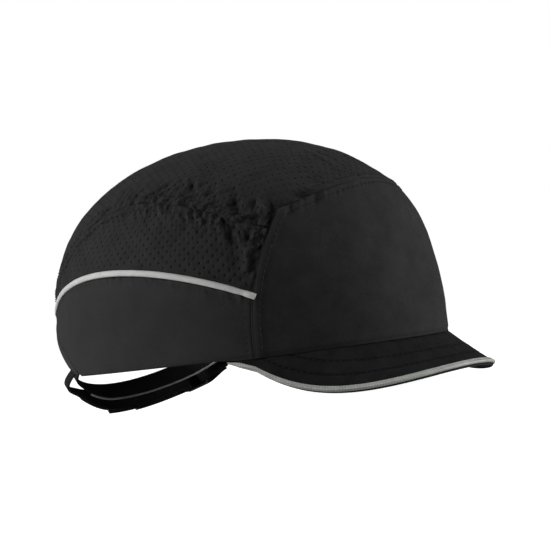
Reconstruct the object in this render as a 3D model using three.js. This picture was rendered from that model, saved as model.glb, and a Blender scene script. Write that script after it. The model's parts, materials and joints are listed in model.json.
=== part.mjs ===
// Bump cap: a fabric crown with a short brim, a protective inner shell and an adjustable nape strap.
// Millimetres, +Z up. The wearer faces -Y and the wearer's left is +X.
// The origin is the centre of the head opening, and the rim lies in the plane Z = 0.
import * as THREE from 'three';

// Crown: (x / HALF_WIDTH)^2 + (y / HALF_LENGTH)^2 + (z / HEIGHT)^RISE = 1
const HALF_LENGTH = 117;
const HALF_WIDTH = 89;
const HEIGHT = 118;
const RISE = 3.15;
const CLOTH = 1.2; // thickness of one crown panel
const SEAM_GAP = 0.35; // half of the gap between two panels
const GAP = 0.35; // between pieces that touch
const LAYER_GAP = 0.7; // between curved layers that lie on each other

// Front seam: up each side from the rim, then across the top of the brow
const SEAM_RIM_ANGLE = 59.3;
const SEAM_CORNER = { angle: 46.3, z: 74 };
const SEAM_TOP = 86;
const SEAM_BEND = 2.5;
const SEAM_TURN = 0.2; // degrees that keep a panel off the front seam
const SEAM_TAPE = { halfWidth: 5.6, turn: 4.4, cloth: 0.6, from: 1, corner: 60, browAngle: 40 };

// Ridge seam between the top strip and the side, as [angle from the front, height]
const RIDGE = [
  [49.5, 66], [60, 71], [70, 79], [82, 85], [95, 88.3],
  [108, 86.6], [117, 83], [125, 75], [131, 66], [147, 50], [165, 39],
];

// Share of the top strip's front edge that lies across the brow, and the steps along it
const STRIP_BROW = 0.86;
const BROW_STEPS = 14;

// Reflective piping over the lower side panel: an arch with its peak above the ear
const PIPING = {
  peakAngle: 107, peak: 53, frontFall: 0.009, rearFall: 0.0105, halfWidth: 1.75, endAngle: 147.5,
};
const PANEL_REAR = { upper: 154.3, lower: 149 }; // angles where the side panels run out at the arch

// Arched opening at the nape, measured from the back of the cap
const ARCH = { halfAngle: 58, height: 44, power: 1.6, bindingWidth: 5.5, bindingCloth: 0.6 };

// Brim: outer edge is an ellipse in plan, and the brim slopes down steeper towards its sides
const BRIM = {
  centre: 47, reach: 97, halfWidth: 80, endAngle: 82, drop: 1.1, frontSlope: 31.4, sideSlope: 64.5,
  cover: 0.8, board: 1.6, binding: 0.6, bindingWidth: 4.5, edgeGap: 0.4,
};

// Nape strap: an arc about an axis that leans back, in the plane of the strap's lower edge
const STRAP = { y: 10, z: 26.5, tilt: 30, radius: 100, cloth: 1.4, width: 14, endAngle: 54 };
const STRAP_TUCK = { from: 30, depth: 10 }; // the ends bend in to meet the inside of the crown
const TAIL = { from: -6, to: 24.4, inner: 102.3 };
const RETURN = { from: 8, inner: 104.3 };
const LOOP = { from: 27.4, to: 36.4, bar: 1.5, sideBar: 2, inner: 101.2, outer: 103.4, clear: 0.6 };
const NAPE_BAND = { step: 4, cloth: 1.2, low: 5, high: 15 };

// Sweatband and insert
const SWEATBAND = { depth: 4.6, cloth: 1.6, low: 1, high: 28, endAngle: 110 };
const BROW_FOAM = { depth: 1.7, cloth: 2.5, low: 3, high: 26, endAngle: 50 };
const SHELL = { depth: 8, wall: 2.2, edge: 30, rearEdge: 54, columns: 40, rows: 9 };
const PAD = { depth: 11.6, thick: 5 };

const black = (roughness) => new THREE.MeshStandardMaterial({ color: 0x252527, roughness, metalness: 0 });
const MATERIAL = {
  woven: black(0.85),
  perforated: black(0.9),
  webbing: black(0.8),
  binding: black(0.75),
  hook: black(0.95),
  moulded: black(0.45),
  sweatband: new THREE.MeshStandardMaterial({ color: 0x1c1c1e, roughness: 0.98, metalness: 0 }),
  reflective: new THREE.MeshStandardMaterial({ color: 0xc4c4c4, roughness: 0.4, metalness: 0.1 }),
  foam: new THREE.MeshStandardMaterial({ color: 0x3a3b3d, roughness: 1, metalness: 0 }),
  shell: new THREE.MeshStandardMaterial({ color: 0x17181a, roughness: 0.4, metalness: 0 }),
  board: new THREE.MeshStandardMaterial({ color: 0xd8d8d4, roughness: 0.6, metalness: 0 }),
};

const cap = new THREE.Group();

// ---- numbers and curves ------------------------------------------------------------------------

const rad = (degrees) => (degrees * Math.PI) / 180;
const mix = (a, b, t) => a + (b - a) * t;
const steps = (from, to, count) => Array.from({ length: count + 1 }, (_, i) => mix(from, to, i / count));

function smoothstep(t) {
  const c = Math.min(Math.max(t, 0), 1);
  return c * c * (3 - 2 * c);
}

const RIDGE_CURVE = new THREE.CatmullRomCurve3(RIDGE.map(([angle, z]) => new THREE.Vector3(angle, z, 0)));

function ridgeAt(t) {
  const point = RIDGE_CURVE.getPoint(t);
  return { angle: point.x, z: point.y };
}

const seamAngle = (z) => {
  const fall = SEAM_RIM_ANGLE - SEAM_CORNER.angle;
  return SEAM_RIM_ANGLE - fall * (z / SEAM_CORNER.z) ** SEAM_BEND;
};

const seamTop = (angle) => SEAM_TOP - (SEAM_TOP - SEAM_CORNER.z) * (angle / SEAM_CORNER.angle) ** 2;

function pipingHeight(angle) {
  const off = angle - PIPING.peakAngle;
  return PIPING.peak - (off < 0 ? PIPING.frontFall : PIPING.rearFall) * off * off;
}

function archHeight(angle) {
  const off = Math.abs(180 - Math.abs(angle)) / ARCH.halfAngle;
  return off < 1 ? ARCH.height * (1 - off ** ARCH.power) : 0;
}

// ---- the crown surface ---------------------------------------------------------------------------

function inward(point, depth) {
  const normal = new THREE.Vector3(
    (2 * point.x) / HALF_WIDTH ** 2,
    (2 * point.y) / HALF_LENGTH ** 2,
    (RISE * (Math.max(point.z, 0) / HEIGHT) ** (RISE - 1)) / HEIGHT,
  ).normalize();
  return point.clone().addScaledVector(normal, -depth);
}

// A point of the crown by its angle from the front and its height
function crown(angle, z, depth = 0) {
  const ring = Math.sqrt(1 - (z / HEIGHT) ** RISE);
  const x = HALF_WIDTH * ring * Math.sin(rad(angle));
  const y = -HALF_LENGTH * ring * Math.cos(rad(angle));
  return inward(new THREE.Vector3(x, y, z), depth);
}

// The point of the crown on the ray from the origin through a nearby point
function ontoCrown(point, depth = 0) {
  const ring = (point.x / HALF_WIDTH) ** 2 + (point.y / HALF_LENGTH) ** 2;
  const lift = (Math.max(point.z, 0) / HEIGHT) ** RISE;
  let scale = 1;
  for (let round = 0; round < 12; round += 1) {
    const value = ring * scale ** 2 + lift * scale ** RISE - 1;
    const slope = 2 * ring * scale + RISE * lift * scale ** (RISE - 1);
    scale -= value / slope;
  }
  return inward(point.clone().multiplyScalar(scale), depth);
}

// ---- closed meshes -------------------------------------------------------------------------------

function closedGeometry(points, triangles) {
  let volume = 0;
  for (const [a, b, c] of triangles) {
    volume += points[a].dot(new THREE.Vector3().crossVectors(points[b], points[c]));
  }
  const turned = volume < 0 ? triangles.map(([a, b, c]) => [a, c, b]) : triangles;
  const geometry = new THREE.BufferGeometry().setFromPoints(points);
  geometry.setIndex(turned.flat());
  geometry.computeVertexNormals();
  return geometry;
}

// A sheet with two faces, from points on a grid. Cells that keep() turns down are left open.
function sheet(face, back, us, vs, keep = () => true) {
  const rows = us.length;
  const columns = vs.length;
  const points = [];
  for (const side of [face, back]) {
    for (const u of us) {
      for (const v of vs) points.push(side(u, v));
    }
  }
  const at = (layer, i, j) => layer * rows * columns + i * columns + j;
  const kept = (i, j) => i >= 0 && j >= 0 && i < rows - 1 && j < columns - 1 && keep(i, j);
  const triangles = [];
  const wall = (i, j, k, l) => {
    triangles.push([at(0, i, j), at(1, i, j), at(1, k, l)], [at(0, i, j), at(1, k, l), at(0, k, l)]);
  };
  for (let i = 0; i < rows - 1; i += 1) {
    for (let j = 0; j < columns - 1; j += 1) {
      if (!kept(i, j)) continue;
      triangles.push([at(0, i, j), at(0, i + 1, j), at(0, i + 1, j + 1)]);
      triangles.push([at(0, i, j), at(0, i + 1, j + 1), at(0, i, j + 1)]);
      triangles.push([at(1, i, j), at(1, i + 1, j + 1), at(1, i + 1, j)]);
      triangles.push([at(1, i, j), at(1, i, j + 1), at(1, i + 1, j + 1)]);
      if (!kept(i - 1, j)) wall(i, j + 1, i, j);
      if (!kept(i + 1, j)) wall(i + 1, j, i + 1, j + 1);
      if (!kept(i, j - 1)) wall(i, j, i + 1, j);
      if (!kept(i, j + 1)) wall(i + 1, j + 1, i, j + 1);
    }
  }
  return closedGeometry(...withoutSpares(points, triangles));
}

function withoutSpares(points, triangles) {
  const place = new Map();
  const used = [];
  const renumber = (index) => {
    if (!place.has(index)) place.set(index, used.push(points[index]) - 1);
    return place.get(index);
  };
  return [used, triangles.map((corners) => corners.map(renumber))];
}

// A bar through sections that all have the same number of corners
function bar(sections) {
  const corners = sections[0].length;
  const points = sections.flat();
  const triangles = [];
  for (let i = 0; i < sections.length - 1; i += 1) {
    for (let j = 0; j < corners; j += 1) {
      const here = i * corners + j;
      const beside = i * corners + ((j + 1) % corners);
      triangles.push([here, beside, beside + corners], [here, beside + corners, here + corners]);
    }
  }
  const last = (sections.length - 1) * corners;
  for (const [a, b, c] of THREE.ShapeUtils.triangulateShape(flattened(sections[0]), [])) {
    triangles.push([a, b, c], [last + a, last + c, last + b]);
  }
  return closedGeometry(points, matched(triangles));
}

// The two ends of a bar take the winding of its sides
function matched(triangles) {
  const edges = new Set();
  const out = [];
  for (const [a, b, c] of triangles) {
    const clash = edges.has(`${a},${b}`) || edges.has(`${b},${c}`) || edges.has(`${c},${a}`);
    const triangle = clash ? [a, c, b] : [a, b, c];
    out.push(triangle);
    for (let k = 0; k < 3; k += 1) edges.add(`${triangle[k]},${triangle[(k + 1) % 3]}`);
  }
  return out;
}

// A section's corners in its own plane
function flattened(section) {
  const [origin, second] = section;
  const along = second.clone().sub(origin).normalize();
  const normal = new THREE.Vector3();
  section.forEach((corner, i) => normal.add(corner.clone().cross(section[(i + 1) % section.length])));
  const across = normal.normalize().cross(along);
  return section.map((corner) => {
    const offset = corner.clone().sub(origin);
    return new THREE.Vector2(offset.dot(along), offset.dot(across));
  });
}

function add(name, geometry, material) {
  const mesh = new THREE.Mesh(geometry, material);
  mesh.name = name;
  cap.add(mesh);
}

function mirrored(geometry) {
  const copy = geometry.clone().scale(-1, 1, 1);
  const corners = [...copy.index.array];
  copy.setIndex(corners.reverse());
  copy.computeVertexNormals();
  return copy;
}

function addPair(name, geometry, material) {
  add(`${name}_left`, geometry, material);
  add(`${name}_right`, mirrored(geometry), material);
}

// ---- crown panels --------------------------------------------------------------------------------

// A panel between four curves of the crown, each a function of 0 to 1
function panel(low, high, near, far, us, vs) {
  const surface = (depth) => (u, v) => {
    const point = low(u).multiplyScalar(1 - v);
    point.addScaledVector(high(u), v);
    point.addScaledVector(near(v), 1 - u);
    point.addScaledVector(far(v), u);
    point.addScaledVector(low(0), -(1 - u) * (1 - v));
    point.addScaledVector(low(1), -u * (1 - v));
    point.addScaledVector(high(0), -(1 - u) * v);
    point.addScaledVector(high(1), -u * v);
    return ontoCrown(point, depth);
  };
  return sheet(surface(0), surface(CLOTH), us, vs);
}

function frontPanel() {
  const side = (hand) => (v) => {
    const z = (SEAM_CORNER.z - SEAM_GAP) * v;
    return crown(hand * (seamAngle(z) - SEAM_TURN), z);
  };
  const span = 2 * (seamAngle(SEAM_CORNER.z - SEAM_GAP) - SEAM_TURN);
  const rim = 2 * (SEAM_RIM_ANGLE - SEAM_TURN);
  const low = (u) => crown((u - 0.5) * rim, 0);
  const high = (u) => {
    const angle = (u - 0.5) * span;
    return crown(angle, seamTop((angle * SEAM_CORNER.angle * 2) / span) - SEAM_GAP);
  };
  return panel(low, high, side(-1), side(1), steps(0, 1, BROW_STEPS), steps(0, 1, 9));
}

// The front edge of the top strip runs across the brow and a little way down each side
function stripFront(u) {
  const s = 2 * u - 1;
  const hand = Math.sign(s);
  const across = Math.abs(s) / STRIP_BROW;
  if (across <= 1) {
    const angle = across * SEAM_CORNER.angle;
    return crown(hand * angle, seamTop(angle) + SEAM_GAP);
  }
  const z = mix(SEAM_CORNER.z, RIDGE[0][1], (Math.abs(s) - STRIP_BROW) / (1 - STRIP_BROW)) + SEAM_GAP;
  return crown(hand * (seamAngle(z) + SEAM_TURN), z);
}

function stripRear(u) {
  const angle = 180 - (2 * u - 1) * (180 - RIDGE.at(-1)[0] - SEAM_TURN);
  return crown(angle, archHeight(angle));
}

function topStrip() {
  const start = stripFront(1);
  const end = stripRear(1);
  const side = (hand) => (v) => {
    if (v === 0) return start.clone().multiply(new THREE.Vector3(hand, 1, 1));
    if (v === 1) return end.clone().multiply(new THREE.Vector3(hand, 1, 1));
    const { angle, z } = ridgeAt(v);
    return crown(hand * angle, z + SEAM_GAP);
  };
  const brow = steps((1 - STRIP_BROW) / 2, (1 + STRIP_BROW) / 2, BROW_STEPS);
  return panel(stripFront, stripRear, side(-1), side(1), [0, ...brow, 1], steps(0, 1, 22));
}

function upperSidePanel() {
  const edge = PIPING.halfWidth + LAYER_GAP;
  const rearAngle = PANEL_REAR.upper;
  const frontLow = pipingHeight(seamAngle(PIPING.peak / 2)) + edge;
  const startAngle = seamAngle(frontLow) + SEAM_TURN;
  const low = (u) => {
    const angle = mix(startAngle, rearAngle, u);
    return crown(angle, u === 0 ? frontLow : Math.max(pipingHeight(angle) + edge, archHeight(angle)));
  };
  const topAt = (u) => {
    const { angle, z } = ridgeAt(u);
    return { angle: angle - SEAM_TURN * u + SEAM_TURN * (1 - u), z: z - SEAM_GAP };
  };
  const high = (u) => crown(topAt(u).angle, topAt(u).z);
  const near = (v) => {
    const z = mix(frontLow, topAt(0).z, v);
    return v === 1 ? high(0) : crown(seamAngle(z) + SEAM_TURN, z);
  };
  const far = (v) => {
    const angle = mix(rearAngle, topAt(1).angle, v);
    return crown(angle, archHeight(angle));
  };
  return panel(low, high, near, far, steps(0, 1, 24), steps(0, 1, 5));
}

function lowerSidePanel() {
  const edge = PIPING.halfWidth + LAYER_GAP;
  const rearAngle = PANEL_REAR.lower;
  const frontHigh = pipingHeight(seamAngle(PIPING.peak / 2)) - edge;
  const low = (u) => {
    const angle = mix(SEAM_RIM_ANGLE + SEAM_TURN, rearAngle, u);
    return crown(angle, archHeight(angle));
  };
  const high = (u) => {
    const angle = mix(seamAngle(frontHigh) + SEAM_TURN, rearAngle, u);
    return crown(angle, pipingHeight(angle) - edge);
  };
  const near = (v) => crown(seamAngle(frontHigh * v) + SEAM_TURN, mix(0, high(0).z, v));
  const far = (v) => crown(rearAngle, mix(archHeight(rearAngle), pipingHeight(rearAngle) - edge, v));
  return panel(low, high, near, far, steps(0, 1, 20), steps(0, 1, 4));
}

// ---- bands along the crown -----------------------------------------------------------------------

// A band at given angles, whose section is a list of [height, depth]
function band(angles, section) {
  return bar(angles.map((angle) => section(angle).map(([z, depth]) => crown(angle, z, depth))));
}

function piping() {
  const start = seamAngle(PIPING.peak / 2) + 2 * SEAM_TURN;
  return band(steps(start, PIPING.endAngle, 24), (angle) => {
    const z = pipingHeight(angle);
    const half = PIPING.halfWidth;
    return [[z - half, CLOTH], [z + half, CLOTH], [z + half, -0.5], [z, -1], [z - half, -0.5]];
  });
}

function archBinding() {
  const { bindingCloth: cloth, bindingWidth: width, halfAngle } = ARCH;
  const end = halfAngle - 1;
  return band(steps(180 - end, 180 + end, 28), (angle) => {
    const z = archHeight(angle);
    const outer = -LAYER_GAP - cloth;
    const inner = CLOTH + LAYER_GAP + cloth;
    const [low, edge, high] = [z - GAP - cloth, z - GAP, z + width];
    return [
      [low, outer], [high, outer], [high, -LAYER_GAP], [edge, -LAYER_GAP],
      [edge, CLOTH + LAYER_GAP], [high, CLOTH + LAYER_GAP], [high, inner], [low, inner],
    ];
  });
}

// The tape that covers the front seam inside, from the rim over the brow to the rim again
function frontSeamTape() {
  const { halfWidth, turn, cloth, from, corner, browAngle } = SEAM_TAPE;
  const outer = CLOTH + LAYER_GAP;
  const inner = outer + cloth;
  const sideAt = (hand) => (z) => {
    const near = hand * (seamAngle(z) - turn);
    const far = hand * (seamAngle(z) + turn);
    return [crown(near, z, outer), crown(far, z, outer), crown(far, z, inner), crown(near, z, inner)];
  };
  const browAt = (angle) => {
    const low = seamTop(angle) - halfWidth;
    const high = seamTop(angle) + halfWidth;
    const corners = [[low, outer], [high, outer], [high, inner], [low, inner]];
    return corners.map(([z, depth]) => crown(angle, z, depth));
  };
  return bar([
    ...steps(from, corner, 8).map(sideAt(-1)),
    ...steps(-browAngle, browAngle, 10).map(browAt),
    ...steps(corner, from, 8).map(sideAt(1)),
  ]);
}

function plainBand(angles, { low, high, depth, cloth }) {
  return band(angles, () => [[low, depth], [high, depth], [high, depth + cloth], [low, depth + cloth]]);
}

// ---- brim ----------------------------------------------------------------------------------------

// The top face of the brim: across is 0 at the crown and 1 at the outer edge
function brimTop(angle, across) {
  const x = BRIM.halfWidth * Math.sin(rad(angle));
  const y = -(BRIM.centre + BRIM.reach * Math.cos(rad(angle)));
  const edge = Math.hypot(x, y);
  const rim = 1 / Math.hypot(x / edge / HALF_WIDTH, y / edge / HALF_LENGTH);
  const radius = mix(rim, edge, across);
  const z = -BRIM.drop - (radius - rim) * Math.tan(rad(brimSlope(angle)));
  return new THREE.Vector3((x / edge) * radius, (y / edge) * radius, z);
}

const brimSlope = (angle) => mix(BRIM.frontSlope, BRIM.sideSlope, Math.sin(rad(angle)) ** 2);

function brimWidth(angle) {
  return brimTop(angle, 0).distanceTo(brimTop(angle, 1));
}

function brimPoint(angle, across, depth) {
  const point = brimTop(angle, across);
  const sideways = brimTop(angle + 1, across).sub(brimTop(angle - 1, across));
  const outwards = brimTop(angle, 1).sub(brimTop(angle, 0));
  const normal = outwards.cross(sideways).normalize();
  return point.addScaledVector(normal, normal.z > 0 ? -depth : depth);
}

function brimLayer(from, to, depth, thick, endAngle, segments) {
  const us = steps(-endAngle, endAngle, segments);
  const vs = steps(0, 1, 3);
  const face = (level) => (angle, v) => brimPoint(angle, mix(from, to, v), level);
  return sheet(face(depth), face(depth + thick), us, vs);
}

const BRIM_STACK = 2 * BRIM.cover + BRIM.board + 2 * GAP;

function brimBinding() {
  const sections = steps(-BRIM.endAngle, BRIM.endAngle, 28).map((angle) => {
    const width = brimWidth(angle);
    const inner = 1 - Math.min(BRIM.bindingWidth / width, 0.6);
    const wall = 1 + BRIM.edgeGap / width;
    const outer = 1 + (BRIM.edgeGap + BRIM.binding) / width;
    const top = -GAP;
    const under = BRIM_STACK + GAP;
    const corners = [
      [inner, top - BRIM.binding], [outer, top - BRIM.binding], [outer, under + BRIM.binding],
      [inner, under + BRIM.binding], [inner, under], [wall, under], [wall, top], [inner, top],
    ];
    return corners.map(([across, depth]) => brimPoint(angle, across, depth));
  });
  return bar(sections);
}

// ---- nape strap ----------------------------------------------------------------------------------

// A point of the strap: angle from the back centre towards the wearer's left, radius, and distance
// along the axis from the strap's lower edge
function strapPoint(angle, radius, along) {
  const outwards = radius * Math.cos(rad(angle));
  const lean = rad(STRAP.tilt);
  return new THREE.Vector3(
    radius * Math.sin(rad(angle)),
    STRAP.y + outwards * Math.cos(lean) + along * Math.sin(lean),
    STRAP.z - outwards * Math.sin(lean) + along * Math.cos(lean),
  );
}

const strapRadius = (angle) => {
  const t = (Math.abs(angle) - STRAP_TUCK.from) / (STRAP.endAngle - STRAP_TUCK.from);
  return STRAP.radius - STRAP_TUCK.depth * smoothstep(t);
};

// A strap piece from its outline, a list of [angle, radius], as wide as from low to high
const strapPiece = (outline, low = 0, high = STRAP.width) => bar(
  [low, high].map((along) => outline.map(([angle, radius]) => strapPoint(angle, radius, along))),
);

const arc = (from, to, radiusAt, degreesPerStep = 4) => {
  const count = Math.max(1, Math.round(Math.abs(to - from) / degreesPerStep));
  return steps(from, to, count).map((angle) => [angle, radiusAt(angle)]);
};

const ring = (radius) => () => radius;

function strapBase() {
  const cloth = STRAP.cloth;
  const turn = LOOP.from + LOOP.bar + 0.4;
  const end = turn + 1.2;
  return strapPiece([
    ...arc(-STRAP.endAngle, end, (angle) => strapRadius(angle) - cloth),
    ...arc(end, RETURN.from, ring(RETURN.inner + cloth)),
    ...arc(RETURN.from, turn, ring(RETURN.inner)),
    ...arc(turn, -STRAP.endAngle, strapRadius),
  ]);
}

function strapTab() {
  const cloth = NAPE_BAND.cloth;
  const turn = LOOP.to - LOOP.bar - 0.5;
  const outer = LOOP.outer + GAP;
  return strapPiece([
    ...arc(STRAP.endAngle, turn - 1.2, (angle) => strapRadius(angle) - cloth),
    ...arc(turn - 1.2, LOOP.to + 6, ring(outer + cloth)),
    ...arc(LOOP.to + 6, turn, ring(outer)),
    ...arc(turn, STRAP.endAngle, strapRadius),
  ]);
}

const strapLayer = (from, to, inner, thick) => strapPiece([
  ...arc(from, to, ring(inner)),
  ...arc(to, from, ring(inner + thick)),
]);

function strapLoop() {
  const low = -LOOP.clear - LOOP.sideBar;
  const high = STRAP.width + LOOP.clear + LOOP.sideBar;
  const angles = [LOOP.from, LOOP.from + LOOP.bar, (LOOP.from + LOOP.to) / 2, LOOP.to - LOOP.bar, LOOP.to];
  const alongs = [low, low + LOOP.sideBar, high - LOOP.sideBar, high];
  const face = (radius) => (angle, along) => strapPoint(angle, radius, along);
  const keep = (i, j) => i === 0 || i === angles.length - 2 || j !== 1;
  return sheet(face(LOOP.outer), face(LOOP.inner), angles, alongs, keep);
}

function napeBand() {
  const outer = (angle) => strapRadius(angle) - NAPE_BAND.step;
  const inner = (angle) => outer(angle) - NAPE_BAND.cloth;
  const reach = STRAP.endAngle;
  const outline = [...arc(-reach, reach, inner), ...arc(reach, -reach, outer)];
  return strapPiece(outline, NAPE_BAND.low, NAPE_BAND.high);
}

// ---- protective insert ---------------------------------------------------------------------------

// The shell's lower edge is higher at the back, above the opening for the strap
function shellEdge(angle) {
  const fromBack = 180 - Math.abs(angle);
  return mix(SHELL.edge, SHELL.rearEdge, smoothstep((80 - fromBack) / 18));
}

function domePoint(angle, z, rise, depth) {
  const flat = Math.sqrt(1 - (z / HEIGHT) ** RISE);
  const tilt = mix(Math.atan2(z / HEIGHT, flat), Math.PI / 2, rise);
  const x = HALF_WIDTH * Math.cos(tilt) * Math.sin(rad(angle));
  const y = -HALF_LENGTH * Math.cos(tilt) * Math.cos(rad(angle));
  return ontoCrown(new THREE.Vector3(x, y, HEIGHT * Math.sin(tilt)), depth);
}

// A dome closed at the top, with rows of vents
function insertShell() {
  const { columns, rows } = SHELL;
  const points = [];
  for (const depth of [SHELL.depth, SHELL.depth + SHELL.wall]) {
    for (let j = 0; j < rows; j += 1) {
      for (let i = 0; i < columns; i += 1) {
        const angle = -180 + (360 * i) / columns;
        points.push(domePoint(angle, shellEdge(angle), j / rows, depth));
      }
    }
    points.push(inward(new THREE.Vector3(0, 0, HEIGHT), depth));
  }
  const layerSize = rows * columns + 1;
  const at = (layer, i, j) => layer * layerSize + j * columns + ((i + columns) % columns);
  const vent = (i, j) => [2, 4, 6].includes(j) && ((i + columns) % columns) % 4 === (j === 4 ? 3 : 1);
  const open = (i, j) => j < 0 || (j < rows - 1 && vent(i, j));
  const triangles = [];
  const wall = (a, b, c, d) => {
    triangles.push([at(0, a, b), at(1, a, b), at(1, c, d)], [at(0, a, b), at(1, c, d), at(0, c, d)]);
  };
  for (let j = 0; j < rows - 1; j += 1) {
    for (let i = 0; i < columns; i += 1) {
      if (open(i, j)) continue;
      triangles.push([at(0, i, j), at(0, i + 1, j), at(0, i + 1, j + 1)]);
      triangles.push([at(0, i, j), at(0, i + 1, j + 1), at(0, i, j + 1)]);
      triangles.push([at(1, i, j), at(1, i + 1, j + 1), at(1, i + 1, j)]);
      triangles.push([at(1, i, j), at(1, i, j + 1), at(1, i + 1, j + 1)]);
      if (open(i, j - 1)) wall(i, j, i + 1, j);
      if (open(i, j + 1)) wall(i + 1, j + 1, i, j + 1);
      if (open(i - 1, j)) wall(i, j + 1, i, j);
      if (open(i + 1, j)) wall(i + 1, j, i + 1, j + 1);
    }
  }
  const apex = [layerSize - 1, 2 * layerSize - 1];
  for (let i = 0; i < columns; i += 1) {
    triangles.push([at(0, i, rows - 1), at(0, i + 1, rows - 1), apex[0]]);
    triangles.push([at(1, i + 1, rows - 1), at(1, i, rows - 1), apex[1]]);
  }
  return closedGeometry(...withoutSpares(points, triangles));
}

function foamPad(fromAngle, toAngle, low, high) {
  const face = (depth) => (angle, z) => crown(angle, z, depth);
  const angles = steps(fromAngle, toAngle, 8);
  return sheet(face(PAD.depth), face(PAD.depth + PAD.thick), angles, steps(low, high, 3));
}

function topPad() {
  const half = { x: 30, y: 50 };
  const face = (depth) => (x, y) => ontoCrown(new THREE.Vector3(x, y, HEIGHT * 0.9), depth);
  const [us, vs] = [steps(-half.x, half.x, 6), steps(-half.y, half.y, 9)];
  return sheet(face(PAD.depth), face(PAD.depth + PAD.thick), us, vs);
}

// ---- the cap -------------------------------------------------------------------------------------

add('front_panel', frontPanel(), MATERIAL.woven);
add('top_strip', topStrip(), MATERIAL.perforated);
addPair('upper_side_panel', upperSidePanel(), MATERIAL.perforated);
addPair('lower_side_panel', lowerSidePanel(), MATERIAL.woven);
addPair('reflective_piping', piping(), MATERIAL.reflective);
add('arch_binding', archBinding(), MATERIAL.binding);
add('front_seam_tape', frontSeamTape(), MATERIAL.binding);

const { cover, board } = BRIM;
add('brim_top_cover', brimLayer(0, 1, 0, cover, BRIM.endAngle, 24), MATERIAL.woven);
add('brim_board', brimLayer(0.08, 0.95, cover + GAP, board, BRIM.endAngle - 4, 24), MATERIAL.board);
add('brim_under_cover', brimLayer(0, 1, cover + board + 2 * GAP, cover, BRIM.endAngle, 24), MATERIAL.woven);
add('brim_edge_binding', brimBinding(), MATERIAL.reflective);

const headAngles = steps(-SWEATBAND.endAngle, SWEATBAND.endAngle, 34);
const browAngles = steps(-BROW_FOAM.endAngle, BROW_FOAM.endAngle, 16);
add('sweatband', plainBand(headAngles, SWEATBAND), MATERIAL.sweatband);
add('brow_foam', plainBand(browAngles, BROW_FOAM), MATERIAL.foam);

add('nape_band', napeBand(), MATERIAL.webbing);
add('strap_base', strapBase(), MATERIAL.webbing);
add('strap_loop_patch', strapLayer(-24, 12, STRAP.radius + GAP, 0.7), MATERIAL.hook);
add('strap_hook_patch', strapLayer(-5, 6, TAIL.inner - GAP - 0.6, 0.6), MATERIAL.hook);
add('strap_tail', strapLayer(TAIL.from, TAIL.to, TAIL.inner, STRAP.cloth), MATERIAL.webbing);
add('strap_loop', strapLoop(), MATERIAL.moulded);
add('strap_loop_tab', strapTab(), MATERIAL.webbing);

add('insert_shell', insertShell(), MATERIAL.shell);
add('insert_pad_front', foamPad(-38, 38, 36, 66), MATERIAL.foam);
add('insert_pad_back', foamPad(148, 212, 58, 82), MATERIAL.foam);
addPair('insert_pad', foamPad(62, 112, 38, 66), MATERIAL.foam);
add('insert_pad_top', topPad(), MATERIAL.foam);

export default cap;
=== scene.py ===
# Bump cap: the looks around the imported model.
# Lengths are in millimetres until a mesh is made, and then in metres. +Z is up, and the wearer faces -Y.
import json
import math

import bpy
import numpy as np
from mathutils import Matrix, Vector, kdtree

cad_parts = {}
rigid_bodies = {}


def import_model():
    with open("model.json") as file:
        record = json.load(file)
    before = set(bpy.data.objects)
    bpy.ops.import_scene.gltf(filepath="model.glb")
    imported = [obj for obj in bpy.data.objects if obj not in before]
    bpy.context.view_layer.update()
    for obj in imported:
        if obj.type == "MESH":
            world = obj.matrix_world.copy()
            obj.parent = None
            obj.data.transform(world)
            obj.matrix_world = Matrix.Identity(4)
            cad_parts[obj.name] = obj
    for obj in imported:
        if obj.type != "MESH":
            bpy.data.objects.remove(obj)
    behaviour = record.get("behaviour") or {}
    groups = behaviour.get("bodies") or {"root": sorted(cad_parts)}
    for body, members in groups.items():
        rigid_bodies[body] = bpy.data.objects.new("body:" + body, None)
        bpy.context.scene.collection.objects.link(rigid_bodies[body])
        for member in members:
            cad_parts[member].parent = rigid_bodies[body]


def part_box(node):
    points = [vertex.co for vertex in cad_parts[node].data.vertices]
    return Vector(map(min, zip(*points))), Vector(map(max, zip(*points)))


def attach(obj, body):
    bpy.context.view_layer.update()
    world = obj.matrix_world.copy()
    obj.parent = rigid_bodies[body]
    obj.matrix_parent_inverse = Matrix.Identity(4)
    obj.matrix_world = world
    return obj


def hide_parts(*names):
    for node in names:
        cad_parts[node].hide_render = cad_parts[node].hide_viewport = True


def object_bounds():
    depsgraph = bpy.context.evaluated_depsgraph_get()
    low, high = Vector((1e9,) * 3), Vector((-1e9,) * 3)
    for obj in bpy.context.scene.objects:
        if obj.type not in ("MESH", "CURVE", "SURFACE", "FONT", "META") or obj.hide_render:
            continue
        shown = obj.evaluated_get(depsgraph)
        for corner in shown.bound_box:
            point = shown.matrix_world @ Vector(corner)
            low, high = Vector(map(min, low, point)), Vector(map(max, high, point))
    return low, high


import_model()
cad_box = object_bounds()

MM = 0.001

# ---- driving dimensions, the same as the model's ---------------------------------------------------

HALF_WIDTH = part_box("lower_side_panel_left")[1].x / MM
HALF_LENGTH = -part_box("front_panel")[0].y / MM
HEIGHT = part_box("top_strip")[1].z / MM
RISE = 3.15
SEAM = {"rim_angle": 59.3, "corner_angle": 46.3, "corner_z": 74.0, "top": 86.0, "bend": 2.5}
RIDGE = [(49.5, 66), (60, 71), (70, 79), (82, 85), (95, 88.3), (108, 86.6),
         (117, 83), (125, 75), (131, 66), (147, 50), (165, 39)]
PIPING = {"peak_angle": 107, "peak": 53.0, "front_fall": 0.009, "rear_fall": 0.0105, "half_width": 1.75,
          "start_angle": 57.0, "end_angle": 147.5, "tail": 3.6, "above_seam": 0.3}
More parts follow.
